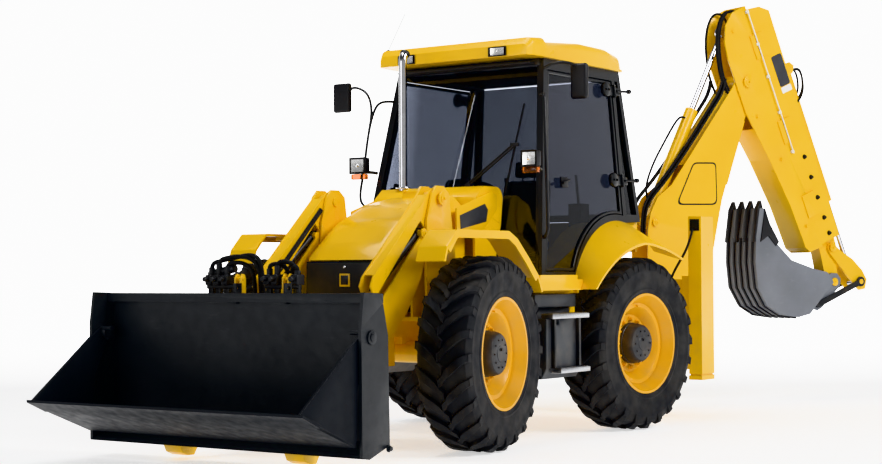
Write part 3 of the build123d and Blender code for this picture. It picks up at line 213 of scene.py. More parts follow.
def rubber(name, colour, dusty, scale):
    """Dull rubber with a little dust and a fine grain of that scale."""
    material, tree, shader = new_material(name)
    dust = mottled(tree, 6.0, 8.0, [(0.4, 0.0), (0.85, dusty)])
    fill(tree, shader, {
        "Base Color": blended(tree, dust, colour, TYRE_DUST),
        "Roughness": mottled(tree, 11.0, 6.0, [(0.3, 0.62), (0.8, 0.86)]),
        "Normal": bump(tree, noise(tree, scale, 6.0), 0.3, 0.0012),
    })
    return material


def plastic(name, colour, roughness, grain):
    """Moulded plastic with a fine leather-like grain."""
    material, tree, shader = new_material(name)
    fill(tree, shader, {
        "Base Color": mottled(tree, 4.0, 4.0, [(0.3, colour), (0.8, toned(colour, 1.35))]),
        "Roughness": mottled(tree, 30.0, 4.0, [(0.3, roughness), (0.8, roughness + 0.1)]),
        "Normal": bump(tree, noise(tree, grain, 3.0), 0.22, 0.0006),
    })
    return material


def metal(name, colour, low, high, stretch=(1, 1, 1), scale=40.0):
    """Bare metal, brushed along the axis that stretch leaves short."""
    material, tree, shader = new_material(name)
    tones = [(0.3, toned(colour, 0.8)), (0.8, colour)]
    fill(tree, shader, {
        "Base Color": mottled(tree, scale, 6.0, tones, stretch),
        "Roughness": mottled(tree, scale, 5.0, [(0.3, low), (0.8, high)], stretch),
        "Metallic": 1,
        "Normal": bump(tree, noise(tree, scale * 3, 3.0, stretch), 0.08, 0.0005),
    })
    return material


def glass(name, tint, roughness, rear=None, span=(-0.25, -0.15)):
    """Tinted glass that turns to the rear tint, where there is one, behind the span in x: painted
    light and shade, the same glass lighter at the front and darker at the back.
    """
    material, tree, shader = new_material(name)
    tone = mottled(tree, 0.9, 4.0, [(0.3, tint), (0.8, toned(tint, 0.92))])
    # painted shade: the pane darkens to the rear tint behind the span
    if rear:
        tone = blended(tree, below(tree, *span, "X"), tone, rear)
    fill(tree, shader, {
        "Base Color": tone,
        "Roughness": mottled(tree, 2.5, 6.0, [(0.4, roughness), (0.9, roughness * 1.5)]),
        "Transmission Weight": 1,
        "IOR": 1.45,
    })
    return material


YELLOW = paint("yellow_enamel", (0.91, 0.545, 0.012), (0.85, 0.49, 0.009), 0.27, 0.3)
BLACK = paint("black_enamel", (0.011, 0.012, 0.014), (0.017, 0.018, 0.021), 0.36, 0.2)
SHOVEL_BLACK = scuffed_steel_paint("shovel_black", (0.017, 0.019, 0.022), (0.16, 0.16, 0.17), 0.22)
BUCKET_GREY = scuffed_steel_paint("bucket_grey", (0.15, 0.16, 0.18), (0.36, 0.36, 0.38), 0.35)
TANK_GREY = paint("tank_grey", (0.055, 0.059, 0.066), (0.047, 0.051, 0.058), 0.4, 0.1)
HUB_GREY = paint("hub_grey", (0.032, 0.033, 0.037), (0.04, 0.041, 0.045), 0.5, 0.1)
# painted shade: a darker, duller copy of the shovel's black for the clam, which is seen in shade
SHADED_CLAM_BLACK = scuffed_steel_paint(
    "clam_black_painted_shade", (0.0115, 0.013, 0.016), (0.03, 0.03, 0.035), 0.05, specular=0.22,
)
# painted shade: a darker, more orange copy of the yellow enamel for the rims and wheel nuts, which
# sit in shade
SHADED_RIM_YELLOW = paint("rim_yellow_painted_shade", (0.8, 0.4, 0.012), (0.74, 0.36, 0.01), 0.36, 0.12)
TYRE = rubber("tyre_rubber", (0.013, 0.014, 0.017), 0.22, 90.0)
HOSE = rubber("hose_rubber", (0.008, 0.008, 0.009), 0.04, 240.0)
SEAL = rubber("seal_rubber", (0.006, 0.006, 0.007), 0.03, 160.0)
PLASTIC = plastic("black_plastic", (0.014, 0.014, 0.016), 0.42, 420.0)
TRIM = plastic("grey_trim", (0.028, 0.03, 0.034), 0.6, 380.0)
CLOTH = plastic("seat_cloth", (0.016, 0.017, 0.019), 0.85, 700.0)
CHROME = metal("bright_chrome", (0.82, 0.82, 0.84), 0.05, 0.14, scale=12.0)
STEEL = metal("brushed_steel", (0.62, 0.63, 0.65), 0.25, 0.4, (1, 12, 12))
IRON = metal("dark_iron", (0.05, 0.05, 0.055), 0.5, 0.7)
# painted light and shade: one cab glass in lighter and darker tints by pane; the screen and the
# right door pane darken towards the back, the right door pane light only at its front end
DOOR_GLASS = glass("door_glass", (0.21, 0.225, 0.28), 0.0)
SCREEN_GLASS = glass("screen_glass", (0.38, 0.405, 0.46), 0.0, rear=(0.075, 0.078, 0.086))
RIGHT_DOOR_GLASS = glass(
    "right_door_glass", (0.36, 0.38, 0.44), 0.0, rear=(0.1, 0.105, 0.12), span=(0.6, 1.1),
)
LAMP_GLASS = glass("lamp_glass", (0.97, 0.97, 0.96), 0.02)
HUB_BLACK = paint("hub_black", (0.016, 0.017, 0.02), (0.024, 0.025, 0.029), 0.42, 0.1)
REFLECTOR = metal("lamp_reflector", (0.95, 0.95, 0.95), 0.12, 0.2, scale=60.0)
AMBER = glass("amber_lens", (0.95, 0.24, 0.03), 0.06)
PIPE_WHITE = paint("pipe_zinc", (0.72, 0.72, 0.7), (0.66, 0.66, 0.64), 0.3, 0.1)
DECAL_GREY = plastic("decal_grey", (0.05, 0.052, 0.058), 0.35, 500.0)


# --- mesh helpers
# points closer than this are one
MERGE = 1e-5
# the angle past which an edge of a node's shape is sharp, and past which it is rounded
NODE_CREASE, NODE_EDGE = 28, 40
# a pane's face whose normal leans this far from the broad side's belongs to its cut edge
EDGE_ON = 0.7


def linked(name, data):
    """A new object of its data, in the scene."""
    made = bpy.data.objects.new(name, data)
    bpy.context.scene.collection.objects.link(made)
    return made


def smooth_mesh(name, bm, material, crease):
    """The bmesh as a mesh, smooth but for its creases."""
    mesh = bpy.data.meshes.new(name)
    bm.to_mesh(mesh)
    bm.free()
    mesh.shade_smooth()
    mesh.set_sharp_from_angle(angle=radians(crease))
    mesh.materials.append(material)
    return mesh


def joined(bm, other, matrix=None):
    """Adds a copy of another bmesh to bm, moved by matrix."""
    mesh = bpy.data.meshes.new("part")
    other.to_mesh(mesh)
    if matrix is not None:
        mesh.transform(matrix)
    bm.from_mesh(mesh)
    bpy.data.meshes.remove(mesh)


def gathered(parts):
    """Several bmeshes as one."""
    whole = bmesh.new()
    for bm in parts:
        joined(whole, bm)
        bm.free()
    return whole


def piece(name, bm, material, body="chassis", crease=30.0):
    """Makes a bmesh, or a list of them, an object that rides on a body."""
    bm = gathered(bm) if isinstance(bm, list) else bm
    bmesh.ops.recalc_face_normals(bm, faces=bm.faces)
    made = linked(name, smooth_mesh(name, bm, material, crease))
    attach(made, body)
    return made


def recolour(node, material):
    """Gives a CAD node its material."""
    slots = NODES[node].data.materials
    slots.clear()
    slots.append(material)


def refined(node, material, width=0.0, segments=2):
    """A CAD node's shape with its edges rounded by width, standing for the node."""
    recolour(node, material)
    source = NODES[node]
    bm = bmesh.new()
    bm.from_mesh(source.data)
    bmesh.ops.remove_doubles(bm, verts=bm.verts, dist=MERGE)
    name = node + "_finish"
    made = linked(name, smooth_mesh(name, bm, material, NODE_CREASE))
    if width:
        bevel = made.modifiers.new("edges", "BEVEL")
        bevel.width = width
        bevel.segments = segments
        bevel.limit_method = "ANGLE"
        bevel.angle_limit = radians(NODE_EDGE)
    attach(made, source["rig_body"])
    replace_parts(made, node)
    return made


def glazed(node, material):
    """The node's panes with dark rubber on their cut edges."""
    made = refined(node, material)
    made.data.materials.append(SEAL)
    bm = bmesh.new()
    bm.from_mesh(made.data)
    left = set(bm.faces)
    while left:
        pane, reach = set(), [next(iter(left))]
        while reach:
            face = reach.pop()
            if face not in pane:
                pane.add(face)
                reach += [other for edge in face.edges for other in edge.link_faces]
        left -= pane
        broad = max(pane, key=lambda face: face.calc_area()).normal.copy()
        for face in pane:
            if abs(face.normal.dot(broad)) < EDGE_ON:
                face.material_index = 1
    bm.to_mesh(made.data)
    bm.free()


# the nodes that no finish stands for
COATED = {
    YELLOW: "axles left_stabiliser_leg right_stabiliser_leg",
    BLACK: "tilt_ram_barrels " + " ".join(f"{wheel}_knuckle" for wheel, _ in WHEELS),
    TYRE: " ".join(f"{wheel}_tyre" for wheel, _ in WHEELS),
    PLASTIC: "steering_wheel mirrors",
    CLOTH: "seat",
    IRON: "engine_block",
    CHROME: "exhaust_stack lift_ram_rods tilt_ram_rods boom_ram_rod dipper_ram_rod crowd_ram_rod",
    LAMP_GLASS: "roof_lamps",
}
for material, nodes in COATED.items():
    for node in nodes.split():
        recolour(node, material)


# --- shape helpers
def rounded(bm, edges, width, segments=2):
    """Rounds the edges by width."""
    bmesh.ops.bevel(
        bm, geom=edges, offset=width, affect="EDGES", segments=segments, profile=0.5, material=-1,
    )


def put(bm, place, turn=None):
    """The bmesh turned about the origin and carried to its place."""
    matrix = Matrix.Translation(place)
    if turn is not None:
        matrix = matrix @ turn.to_4x4()
    bmesh.ops.transform(bm, matrix=matrix, verts=bm.verts)
    return bm


def upright(direction):
    """The turn that brings the Z axis to a direction."""
    return direction.to_track_quat("Z", "Y").to_matrix()


def spun(profile, steps=64):
    """A bmesh of a profile of (radius, along) turned once round the Y axis."""
    bm = bmesh.new()
    verts = [bm.verts.new((radius, along, 0)) for radius, along in profile]
    edges = [bm.edges.new(pair) for pair in zip(verts, verts[1:])]
    bmesh.ops.spin(
        bm, geom=verts + edges, cent=(0, 0, 0), axis=(0, 1, 0), angle=tau, steps=steps,
        use_merge=True, use_duplicate=False,
    )
    bmesh.ops.remove_doubles(bm, verts=bm.verts, dist=MERGE)
    return bm


def block(size, place=(0, 0, 0), edge=0.0, segments=2, turn=None):
    """A box of that size with rounded edges, centred on place."""
    bm = bmesh.new()
    bmesh.ops.create_cube(bm, size=1)
    bmesh.ops.scale(bm, vec=size, verts=bm.verts)
    if edge:
        rounded(bm, bm.edges[:], edge, segments)
    return put(bm, place, turn)


def rod(start, end, radius, sides=20, edge=0.0):
    """A round bar from start to end, its rims rounded by edge."""
    start, end = Vector(start), Vector(end)
    bm = bmesh.new()
    bmesh.ops.create_cone(
        bm, cap_ends=True, segments=sides, radius1=radius, radius2=radius,
        depth=(end - start).length,
    )
    if edge:
        rims = [e for e in bm.edges if any(len(f.verts) > 4 for f in e.link_faces)]
        rounded(bm, rims, edge)
    return put(bm, (start + end) / 2, upright(end - start))


def grown(bm, face, shift):
    """Extrudes a face by shift; returns the face at the far end."""
    made = bmesh.ops.extrude_face_region(bm, geom=[face])["geom"]
    far = [item for item in made if isinstance(item, bmesh.types.BMFace)][0]
    bmesh.ops.translate(bm, vec=shift, verts=far.verts[:])
    return far


def plate(outline, thickness, edge=0.0, y=0.0):
    """A flat plate parallel to XZ, its middle at y, from an outline of (x, z)."""
    bm = bmesh.new()
    face = bm.faces.new([bm.verts.new((x, -thickness / 2, z)) for x, z in outline])
    grown(bm, face, (0, thickness, 0))
    if edge:
        rounded(bm, bm.edges[:], edge)
    bmesh.ops.translate(bm, vec=(0, y, 0), verts=bm.verts)
    return bm


def bolt(place, along, size):
    """A hexagon head with a washer, its underside at place, standing along a direction."""
    height = size * 0.62
    bm = bmesh.new()
    # of the head and the washer: sides, lower and upper radius, height, middle
    rows = [
        (6, size / 2, size / 2 * 0.94, height, height / 2 + size * 0.1),
        (16, size * 0.72, size * 0.7, size * 0.16, size * 0.06),
    ]
    for sides, foot, top, depth, lift in rows:
        cone = bmesh.ops.create_cone(
            bm, cap_ends=True, segments=sides, radius1=foot, radius2=top, depth=depth,
        )
        bmesh.ops.translate(bm, vec=(0, 0, lift), verts=cone["verts"])
    return put(bm, place, upright(Vector(along).normalized()))


def strip(points, width, thickness, across):
    """A flat strip along a line of points, its width along across."""
    bm = bmesh.new()
    face = bm.faces.new([bm.verts.new() for _ in range(4)])
    points = [Vector(p) for p in points]
    for index, point in enumerate(points):
        ahead = points[min(index + 1, len(points) - 1)] - points[max(index - 1, 0)]
        up = across.cross(ahead).normalized()
        corners = [(-1, -1), (1, -1), (1, 1), (-1, 1)]
        if index:
            start, face = face, grown(bm, face, (0, 0, 0))
            # only the first end stays closed, the rest would be walls inside
            if index > 1:
                bm.faces.remove(start)
        for vert, (a, b) in zip(face.verts, corners):
            vert.co = point + across * a * width / 2 + up * b * thickness / 2
    return bm


def spread(count, start, end):
    """Numbers evenly from start to end."""
    return [start + (end - start) * index / (count - 1) for index in range(count)]


def hose(name, points, radius, body, material=HOSE):
    """A smooth hose through a few control points."""
    curve = bpy.data.curves.new(name, "CURVE")
    curve.dimensions = "3D"
    spline = curve.splines.new("NURBS")
    spline.points.add(len(points) - 1)
    for control, place in zip(spline.points, points):
        control.co = (*place, 1)
    spline.order_u = 3
    spline.use_endpoint_u = True
    spline.resolution_u = 8
    curve.bevel_depth = radius
    curve.bevel_resolution = 3
    curve.use_fill_caps = True
    curve.materials.append(material)
    made = linked(name, curve)
    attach(made, body)


# --- wheels
TYRE_RADIUS = 0.715
TREAD_DEPTH = 0.034
LUGS = 24
# a tread bar: where it starts across the tyre and how far it runs in
LUG_START, LUG_RUN = 0.2075, 0.224
# how far it leads round the tyre, and its hook past a share of its run
LUG_SWING, LUG_HOOK, HOOK_START = 0.235, 0.028, 0.85
# its width and swell, and the shares of them at its top and foot
LUG_WIDTH, LUG_SWELL, TOP_SHARE, FOOT_SHARE = 0.031, 0.013, 0.86, 1.06
# the radii of its foot, and at its outer end
LUG_ROOT, LUG_END_ROOT = 0.645, 0.612
# how far its top stays inside the tyre's radius, and falls off over the shoulder
LUG_SINK, SHOULDER_FALL, SHOULDER_START, SHOULDER_RUN = 0.0045, 0.052, 0.13, 0.08
LUG_EDGE = 0.0045
HUB_FACE = 0.1545


def wheel_place(wheel, side):
    """Puts a piece built round the Y axis, outer side at +Y, on that wheel."""
    joint = JOINTS[f"{wheel}_spin"]
    axis = Vector(joint["axis"])
    steer = Matrix.Rotation(atan2(-axis.x, axis.y), 4, "Z")
    return Matrix.Translation(joint["pos_m"]) @ steer @ Matrix.Diagonal((1, side, 1, 1))


def carcass():
    """Tyre body with its bead, bulging wall, protector ribs and shallow crown."""
    crown = TYRE_RADIUS - TREAD_DEPTH
    half = [
        (0.404, 0.178), (0.418, 0.196), (0.44, 0.199), (0.446, 0.2035), (0.456, 0.2035),
        (0.462, 0.2), (0.5, 0.206), (0.55, 0.2085), (0.59, 0.207), (0.596, 0.209),
        (0.606, 0.209), (0.612, 0.206), (0.64, 0.2), (0.664, 0.184), (0.676, 0.15),
        (crown, 0.08), (crown + 0.001, 0.0),
    ]
    return spun(half + [(r, -y) for r, y in half[-2::-1]] + [half[0]], steps=96)


def lug():
    """One curved bar of the tread, from its shoulder block to the middle of the crown."""
    bm = bmesh.new()
    bmesh.ops.create_cube(bm, size=1)
    along = [e for e in bm.edges if abs(e.verts[0].co.y - e.verts[1].co.y) > 0.5]
    bmesh.ops.subdivide_edges(bm, edges=along, cuts=8, use_grid_fill=True)
    for vert in bm.verts:
        reach = 0.5 - vert.co.y
        top = vert.co.z > 0
        y = LUG_START - LUG_RUN * reach
        width = LUG_WIDTH + LUG_SWELL * sin(reach * pi * 0.9)
        width *= TOP_SHARE if top else FOOT_SHARE
        swing = LUG_SWING * reach ** 1.25
        if reach > HOOK_START:
            swing += LUG_HOOK
        fall = SHOULDER_FALL * max(0.0, (y - SHOULDER_START) / SHOULDER_RUN) ** 2
        outer = TYRE_RADIUS - LUG_SINK - fall
        inner = LUG_ROOT if reach > 0.05 else LUG_END_ROOT
        radius = outer if top else inner
        angle = vert.co.x * 2 * width / TYRE_RADIUS - swing
        vert.co = (radius * cos(angle), y, radius * sin(angle))
    rounded(bm, [e for e in bm.edges if e.calc_face_angle(0) > 0.9], LUG_EDGE, 1)
    return bm


def tyre():
    """The carcass with both rows of tread bars, half a bar apart."""
    whole = carcass()
    bar = lug()
    for side, lead in ((1, 0.0), (-1, 0.5)):
        for index in range(LUGS):
            turn = Matrix.Rotation(-tau * (index + lead) / LUGS, 4, "Y")
            joined(whole, bar, turn @ Matrix.Diagonal((1, side, 1, 1)))
    bar.free()
    return whole


def ring(count, radius):
    """Evenly spaced (x, z) round the wheel's axis."""
    turns = [tau * index / count for index in range(count)]
    return [(radius * cos(turn), radius * sin(turn)) for turn in turns]


def hub_cover():
    """Dark planetary hub that stands out of the dish, with its plug and screws."""
    profile = [
        (0, 0.159), (0.058, 0.159), (0.062, 0.156), (0.122, HUB_FACE), (0.142, 0.148),
        (0.154, 0.134), (0.16, 0.112), (0.164, 0.098), (0.164, 0.06), (0.17, 0.056),
        (0.17, 0.021), (0, 0.021),
    ]
    screws = [bolt((x, HUB_FACE, z), (0, 1, 0), 0.012) for x, z in ring(10, 0.104)]
    return gathered([spun(profile), *screws, bolt((0.0, 0.1585, 0.03), (0, 1, 0), 0.02)])


def wheel_nuts():
    """Studs and nuts round the hub, and the valve."""
    parts = []
    for x, z in ring(12, 0.198):
        parts.append(bolt((x, 0.0235, z), (0, 1, 0), 0.032))
        parts.append(rod((x, 0.0235, z), (x, 0.056, z), 0.009, 12))
    parts.append(rod((0.02, 0.075, 0.318), (0.02, 0.125, 0.306), 0.007, 10))
    return gathered(parts)


def wheels():
    """Tyre, hub cover, nuts and rim of each wheel."""
    # the wheel nuts take the rims' darker yellow, painted shade
    rows = [
        ("tyre", tyre, TYRE, 32), ("hub_cover", hub_cover, HUB_GREY, 30),
        ("wheel_nuts", wheel_nuts, SHADED_RIM_YELLOW, 30),
    ]
    for wheel, side in WHEELS:
        place = wheel_place(wheel, side)
        for name, build, material, crease in rows:
            bm = build()
            bmesh.ops.transform(bm, matrix=place, verts=bm.verts)
            made = piece(f"{wheel}_{name}_detail", bm, material, f"{wheel}_wheel", crease)
            if name == "tyre":
                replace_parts(made, f"{wheel}_tyre")
        # the rim in the darker copy of the yellow enamel, painted shade
        refined(f"{wheel}_rim", SHADED_RIM_YELLOW, 0.004)


wheels()


# --- cab
LEAN = radians(5.94)
SILL_Z = 1.31
CAB_HALF = 0.9
HINGE_HEIGHTS = (2.85, 2.08)


def side_y(z):
    """Half width of the cab's outer face at a height."""
    return CAB_HALF - (z - SILL_Z) * tan(LEAN)


def on_side(side, x, z, out=0.0):
    """A point on the cab's leaning side, out metres proud of it."""
    return Vector((x, side * (side_y(z) + out * cos(LEAN)), z + out * sin(LEAN)))


def door_fittings():
    """Hinges, their brackets on the frame, and the handle of each door."""
    for side, word in SIDES:
        turn = Matrix.Rotation(side * LEAN, 3, "X")

        def at(x, z, out):
            return on_side(side, x, z, out)

        hinges, brackets = [], []
        for z in HINGE_HEIGHTS:
            x = -0.165 + (2.3 - z) * 0.02
            hinges += [
                block((0.13, 0.014, 0.085), at(x + 0.075, z, 0.006), 0.005, turn=turn),
                rod(at(x, z - 0.055, 0.016), at(x, z + 0.055, 0.016), 0.014, 18, 0.003),
                rod(at(x + 0.16, z, 0.0), at(x + 0.16, z, 0.038), 0.062, 28, 0.012),
                bolt(at(x + 0.135, z, 0.037), turn @ Vector((0, side, 0)), 0.018),
                bolt(at(x + 0.185, z, 0.037), turn @ Vector((0, side, 0)), 0.018),
            ]
            tip = at(x - 0.21, z + 0.005, 0.05)
            brackets += [
                block((0.09, 0.012, 0.07), at(x - 0.055, z, 0.006), 0.005, turn=turn),
                rod(at(x - 0.03, z, 0.02), tip, 0.011, 12),
                rod(at(x - 0.175, z + 0.005, 0.045), tip, 0.02, 12, 0.004),
            ]
        piece(f"{word}_door_hinges", hinges, BLACK, f"{word}_door")
        piece(f"{word}_hinge_brackets", brackets, BLACK)
        handle = [
            block((0.1, 0.022, 0.085), at(0.8, 2.03, 0.008), 0.008, 3, turn),
            rod(at(0.76, 2.045, 0.034), at(0.86, 2.02, 0.034), 0.011, 14, 0.003),
            rod(at(0.78, 2.04, 0.012), at(0.78, 2.04, 0.036), 0.008, 12),
            rod(at(0.85, 2.023, 0.012), at(0.85, 2.023, 0.036), 0.008, 12),
        ]
        piece(f"{word}_door_handle", handle, PLASTIC, f"{word}_door")


def lamp(name, place, wide, high, deep):
    """A work lamp: housing, bezel, reflector dish and clear lens facing +X."""
    small = min(wide, high)
    back = block((deep, wide, high), (-deep / 2, 0, 0), min(small, deep) * 0.18, 3)
    bezel = block((0.012, wide * 1.04, high * 1.04), (0.002, 0, 0), 0.005)
    inner = [f for f in bezel.faces if f.normal.x > 0.9]
    bmesh.ops.inset_region(bezel, faces=inner, thickness=small * 0.1, depth=0.0)
    sunk = list({v for f in inner for v in f.verts})
    bmesh.ops.translate(bezel, vec=(-0.008, 0, 0), verts=sunk)
    piece(f"{name}_housing", put(gathered([back, bezel]), place), PLASTIC)
    lens = block((0.006, wide * 0.82, high * 0.82), (0.0035, 0, 0), 0.002)
    piece(f"{name}_lens", put(lens, place), LAMP_GLASS)
    dish = block((0.004, wide * 0.78, high * 0.78), (-0.001, 0, 0))
    bulb = bmesh.new()
    bmesh.ops.create_uvsphere(bulb, u_segments=16, v_segments=8, radius=small * 0.13)
    piece(f"{name}_dish", put(gathered([dish, bulb]), place), REFLECTOR)


def wiper():
    """Two-bar windscreen wiper parked across the screen, its blade along the pillar."""
    foot, top = Vector((1.135, 0.12, 2.02)), Vector((1.075, 0.53, 2.33))
    bars = []
    for y in (0.0, 0.035):
        bars.append(rod(foot + Vector((0.012, y, 0)), top + Vector((0.012, y, 0)), 0.008, 10))
    ends = [foot + Vector((x, 0.02, -0.01)) for x in (-0.03, 0.03)]
    bars.append(rod(*ends, 0.028, 20, 0.004))
    bars.append(block((0.02, 0.08, 0.03), top + Vector((0.012, 0.018, 0)), 0.005))
    piece("wiper_arms", bars, PLASTIC)
    blade = rod((1.16, 0.5, 1.94), (1.02, 0.6, 2.66), 0.009, 10)
    piece("wiper_blade", blade, SEAL)


# a pad's sewn shape, in shares of its half sizes: grooves along it, a seam round its
# top, the crown, the sides' waist and the rounding of its corners
GROOVE_WIDTH, GROOVE_DEPTH = 0.045, 0.1
SEAM_PLACE, SEAM_WIDTH, SEAM_DEPTH = 0.86, 0.04, 0.05
CROWN, CROWN_BELOW, TOP_SINK = 0.24, 0.02, 0.12
WAIST, EDGE_ROUND = 0.035, 0.1
CORNER_START, CORNER_IN, CORNER_DOWN = 1.55, 0.1, 0.35


def cushion(name, size, place, turn, channels):
    """A crowned, sewn foam pad: sides pulled in between its corners, grooves along it."""
    bm = bmesh.new()
    bmesh.ops.create_cube(bm, size=2)
    bmesh.ops.subdivide_edges(bm, edges=bm.edges[:], cuts=22, use_grid_fill=True)
    for vert in bm.verts:
        u, v, w = vert.co
        groove = sum(exp(-((u - at) / GROOVE_WIDTH) ** 2) for at in channels)
        seam = exp(-((max(abs(u), abs(v)) - SEAM_PLACE) / SEAM_WIDTH) ** 2)
        crown = (1 - u ** 4) * (1 - v ** 4)
        lift = CROWN * crown - GROOVE_DEPTH * groove * (1 - v ** 8) - SEAM_DEPTH * seam
        round_off = 1 - EDGE_ROUND * abs(w) ** 3
        x = u * (1 - WAIST * (1 - v * v)) * round_off
        y = v * (1 - WAIST * (1 - u * u)) * round_off
        z = w * (1 + lift) - TOP_SINK if w > 0 else w * (1 + CROWN_BELOW * crown)
        corner = max(0.0, abs(u) + abs(v) - CORNER_START)
        drawn = 1 - CORNER_IN * corner
        vert.co = (x * drawn, y * drawn, z * (1 - CORNER_DOWN * corner))
    bmesh.ops.scale(bm, vec=Vector(size) / 2, verts=bm.verts)
    made = piece(name, put(bm, place, turn), CLOTH, crease=50)
    finish = made.modifiers.new("smooth", "SUBSURF")
    finish.levels = finish.render_levels = 1
    return made


def seat():
    """Pedestal, foam cushion, leaning back and head rest."""
    base = gathered([
        block((0.34, 0.34, 0.18), (0.24, 0, 1.305), 0.02, 3),
        block((0.42, 0.4, 0.05), (0.26, 0, 1.425), 0.015, 3),
        block((0.48, 0.44, 0.03), (0.28, 0, 1.465), 0.01, 3),
    ])
    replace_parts(piece("seat_pedestal", base, PLASTIC), "seat")
    level = Matrix.Identity(3)
    lean = Matrix.Rotation(radians(-98.5), 3, "Y")
    # name, size, place, turn, channels
    rows = [
        ("seat_cushion", (0.5, 0.48, 0.13), (0.285, 0, 1.55), level, (-0.35, 0.1, 0.5)),
        ("seat_back", (0.5, 0.46, 0.11), (0.058, 0, 1.86), lean, (-0.45, 0.0, 0.45)),
        ("head_rest", (0.14, 0.26, 0.09), (-0.005, 0, 2.2), lean, ()),
    ]
    for row in rows:
        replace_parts(cushion(*row), "seat")
    stems = [rod((0.02, y, 2.06), (-0.008, y, 2.18), 0.007, 10) for y in (-0.06, 0.06)]
    piece("head_rest_stems", stems, STEEL)


def cab_inside():
    """Dark headliner, floor mat, dash hood and dials, seen through the glass."""
    tipped = Matrix.Rotation(radians(20), 3, "Y")
    parts = [
        block((1.3, 1.3, 0.016), (0.39, 0, 2.988), 0.004),
        block((0.74, 0.9, 0.012), (0.44, 0, 1.222), 0.003),
        block((0.26, 0.3, 0.1), (0.985, 0, 1.9), 0.03, 3, tipped),
    ]
    piece("cab_linings", parts, TRIM)
    dials = [
        rod((0.912, y, 1.965), (0.9, y, 1.985), 0.032, 20, 0.003) for y in (-0.08, 0.0, 0.08)
    ]
    piece("dash_dials", dials, PLASTIC)


def stay(name, points, radius=0.011):
    """A bent tube of the mirrors' and lamps' stays."""
    hose(name, points, radius, "chassis", BLACK)


def mirror_head(name, size, place):
    """A mirror's moulded head with its glass let into the back."""
    made = piece(name, block(size, place, min(size) * 0.42, 4), PLASTIC, crease=60)
    face = Vector(place) - Vector((size[0] / 2 + 0.0006, 0, 0))
    pane = block((0.002, size[1] * 0.8, size[2] * 0.82), face, 0.0006)
    piece(f"{name}_glass", pane, CHROME)
    return made


AMBER_HEIGHT = 0.045


def work_lamp(name, place, wide, high):
    """A work lamp facing forwards, with an amber lens under it."""
    lamp(name, place, wide, high, 0.07)
    x, y, z = place
    under = (x - 0.03, y, z - high / 2 - AMBER_HEIGHT / 2 - 0.004)
    lens = block((0.05, wide * 0.92, AMBER_HEIGHT), under, 0.008, 3)
    piece(f"{name}_amber", lens, AMBER)


def mirrors_and_lamps():
    """Mirrors, work lamps and their stays, the roof lamps and the antenna."""
    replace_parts(mirror_head("right_mirror", (0.05, 0.18, 0.25), (1.11, -1.185, 2.81)), "mirrors")
    line = [
        (-1.13, 2.83), (-1.1, 2.89), (-1.02, 2.89), (-0.92, 2.84), (-0.875, 2.74), (-0.875, 2.62),
        (-0.9, 2.52),
    ]
    stay("right_mirror_arm", [(1.11, y, z) for y, z in line])
    stay("right_lamp_stay", [
        (0.955, -0.735, 2.76), (1.03, -0.77, 2.765), (1.1, -0.82, 2.74), (1.12, -0.865, 2.62),
        (1.13, -0.9, 2.45), (1.15, -0.93, 2.15), (1.17, -0.955, 1.98), (1.18, -0.93, 1.88),
        (1.165, -0.86, 1.85),
    ])
    bracket = [(1.1, -0.82, 2.15), (1.14, -0.84, 2.16), (1.15, -0.92, 2.16)]
    stay("right_lamp_bracket", bracket, 0.014)
    work_lamp("right_work_lamp", (1.215, -0.945, 2.215), 0.165, 0.135)
    mirror_head("left_mirror", (0.06, 0.15, 0.285), (0.8, 0.985, 2.835))
    stay("left_mirror_arm", [
        (0.93, 0.73, 2.945), (0.91, 0.8, 2.985), (0.86, 0.92, 2.99), (0.815, 0.98, 2.95),
    ])
    work_lamp("left_work_lamp", (1.33, 0.835, 2.195), 0.145, 0.125)
    stay("left_lamp_bracket", [(1.115, 0.81, 2.12), (1.18, 0.84, 2.12), (1.27, 0.84, 2.15)], 0.014)
    for side, word in SIDES:
        lamp(f"{word}_roof_lamp", (1.184, side * 0.45, 3.074), 0.165, 0.074, 0.012)
    mast = [
        rod((1.1, -0.7, 3.1), (1.1, -0.7, 3.185), 0.016, 16, 0.003),
        rod((1.1, -0.7, 3.18), (0.86, -0.7, 3.52), 0.0035, 8),
    ]
    piece("antenna", mast, PLASTIC)


def exhaust():
    """Chromed stack with a dark cranked tip and a flange on the scuttle."""
    x, y = 1.44, -0.3
    pipe = gathered([
        rod((x, y, 1.962), (x, y, 3.015), 0.033, 32),
        rod((x, y, 1.986), (x, y, 2.002), 0.062, 28, 0.004),
    ])
    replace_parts(piece("exhaust_pipe", pipe, CHROME), "exhaust_stack")
    bend = [(x, y, 2.99), (x, y, 3.03), (x - 0.008, y, 3.06), (x - 0.03, y, 3.095)]
    hose("exhaust_bend", bend, 0.035, "chassis", CHROME)
    cap = rod((x - 0.02, y, 3.072), (x - 0.042, y, 3.108), 0.041, 28, 0.014)
    piece("exhaust_cap", cap, HUB_BLACK)


def cab():
    """The cab's shell, glass, doors, fittings and inside."""
    refined("cab_frame", BLACK, 0.009)
    refined("cab_roof", YELLOW, 0.028, 3)
    glazed("cab_glass", SCREEN_GLASS)
    glazed("left_door_glass", DOOR_GLASS)
    glazed("right_door_glass", RIGHT_DOOR_GLASS)
    for _, word in SIDES:
        refined(f"{word}_door", BLACK, 0.006)
    door_fittings()
    hose("left_grab_rail", [
        on_side(1, 1.02, 2.72, 0.0), on_side(1, 1.04, 2.74, 0.05), on_side(1, 1.06, 2.6, 0.05),
        on_side(1, 1.17, 1.72, 0.05), on_side(1, 1.19, 1.6, 0.05), on_side(1, 1.17, 1.58, 0.0),
    ], 0.014, "chassis", BLACK)
    seat()
    cab_inside()
    mirrors_and_lamps()
    exhaust()
    refined("consoles", TRIM, 0.012)


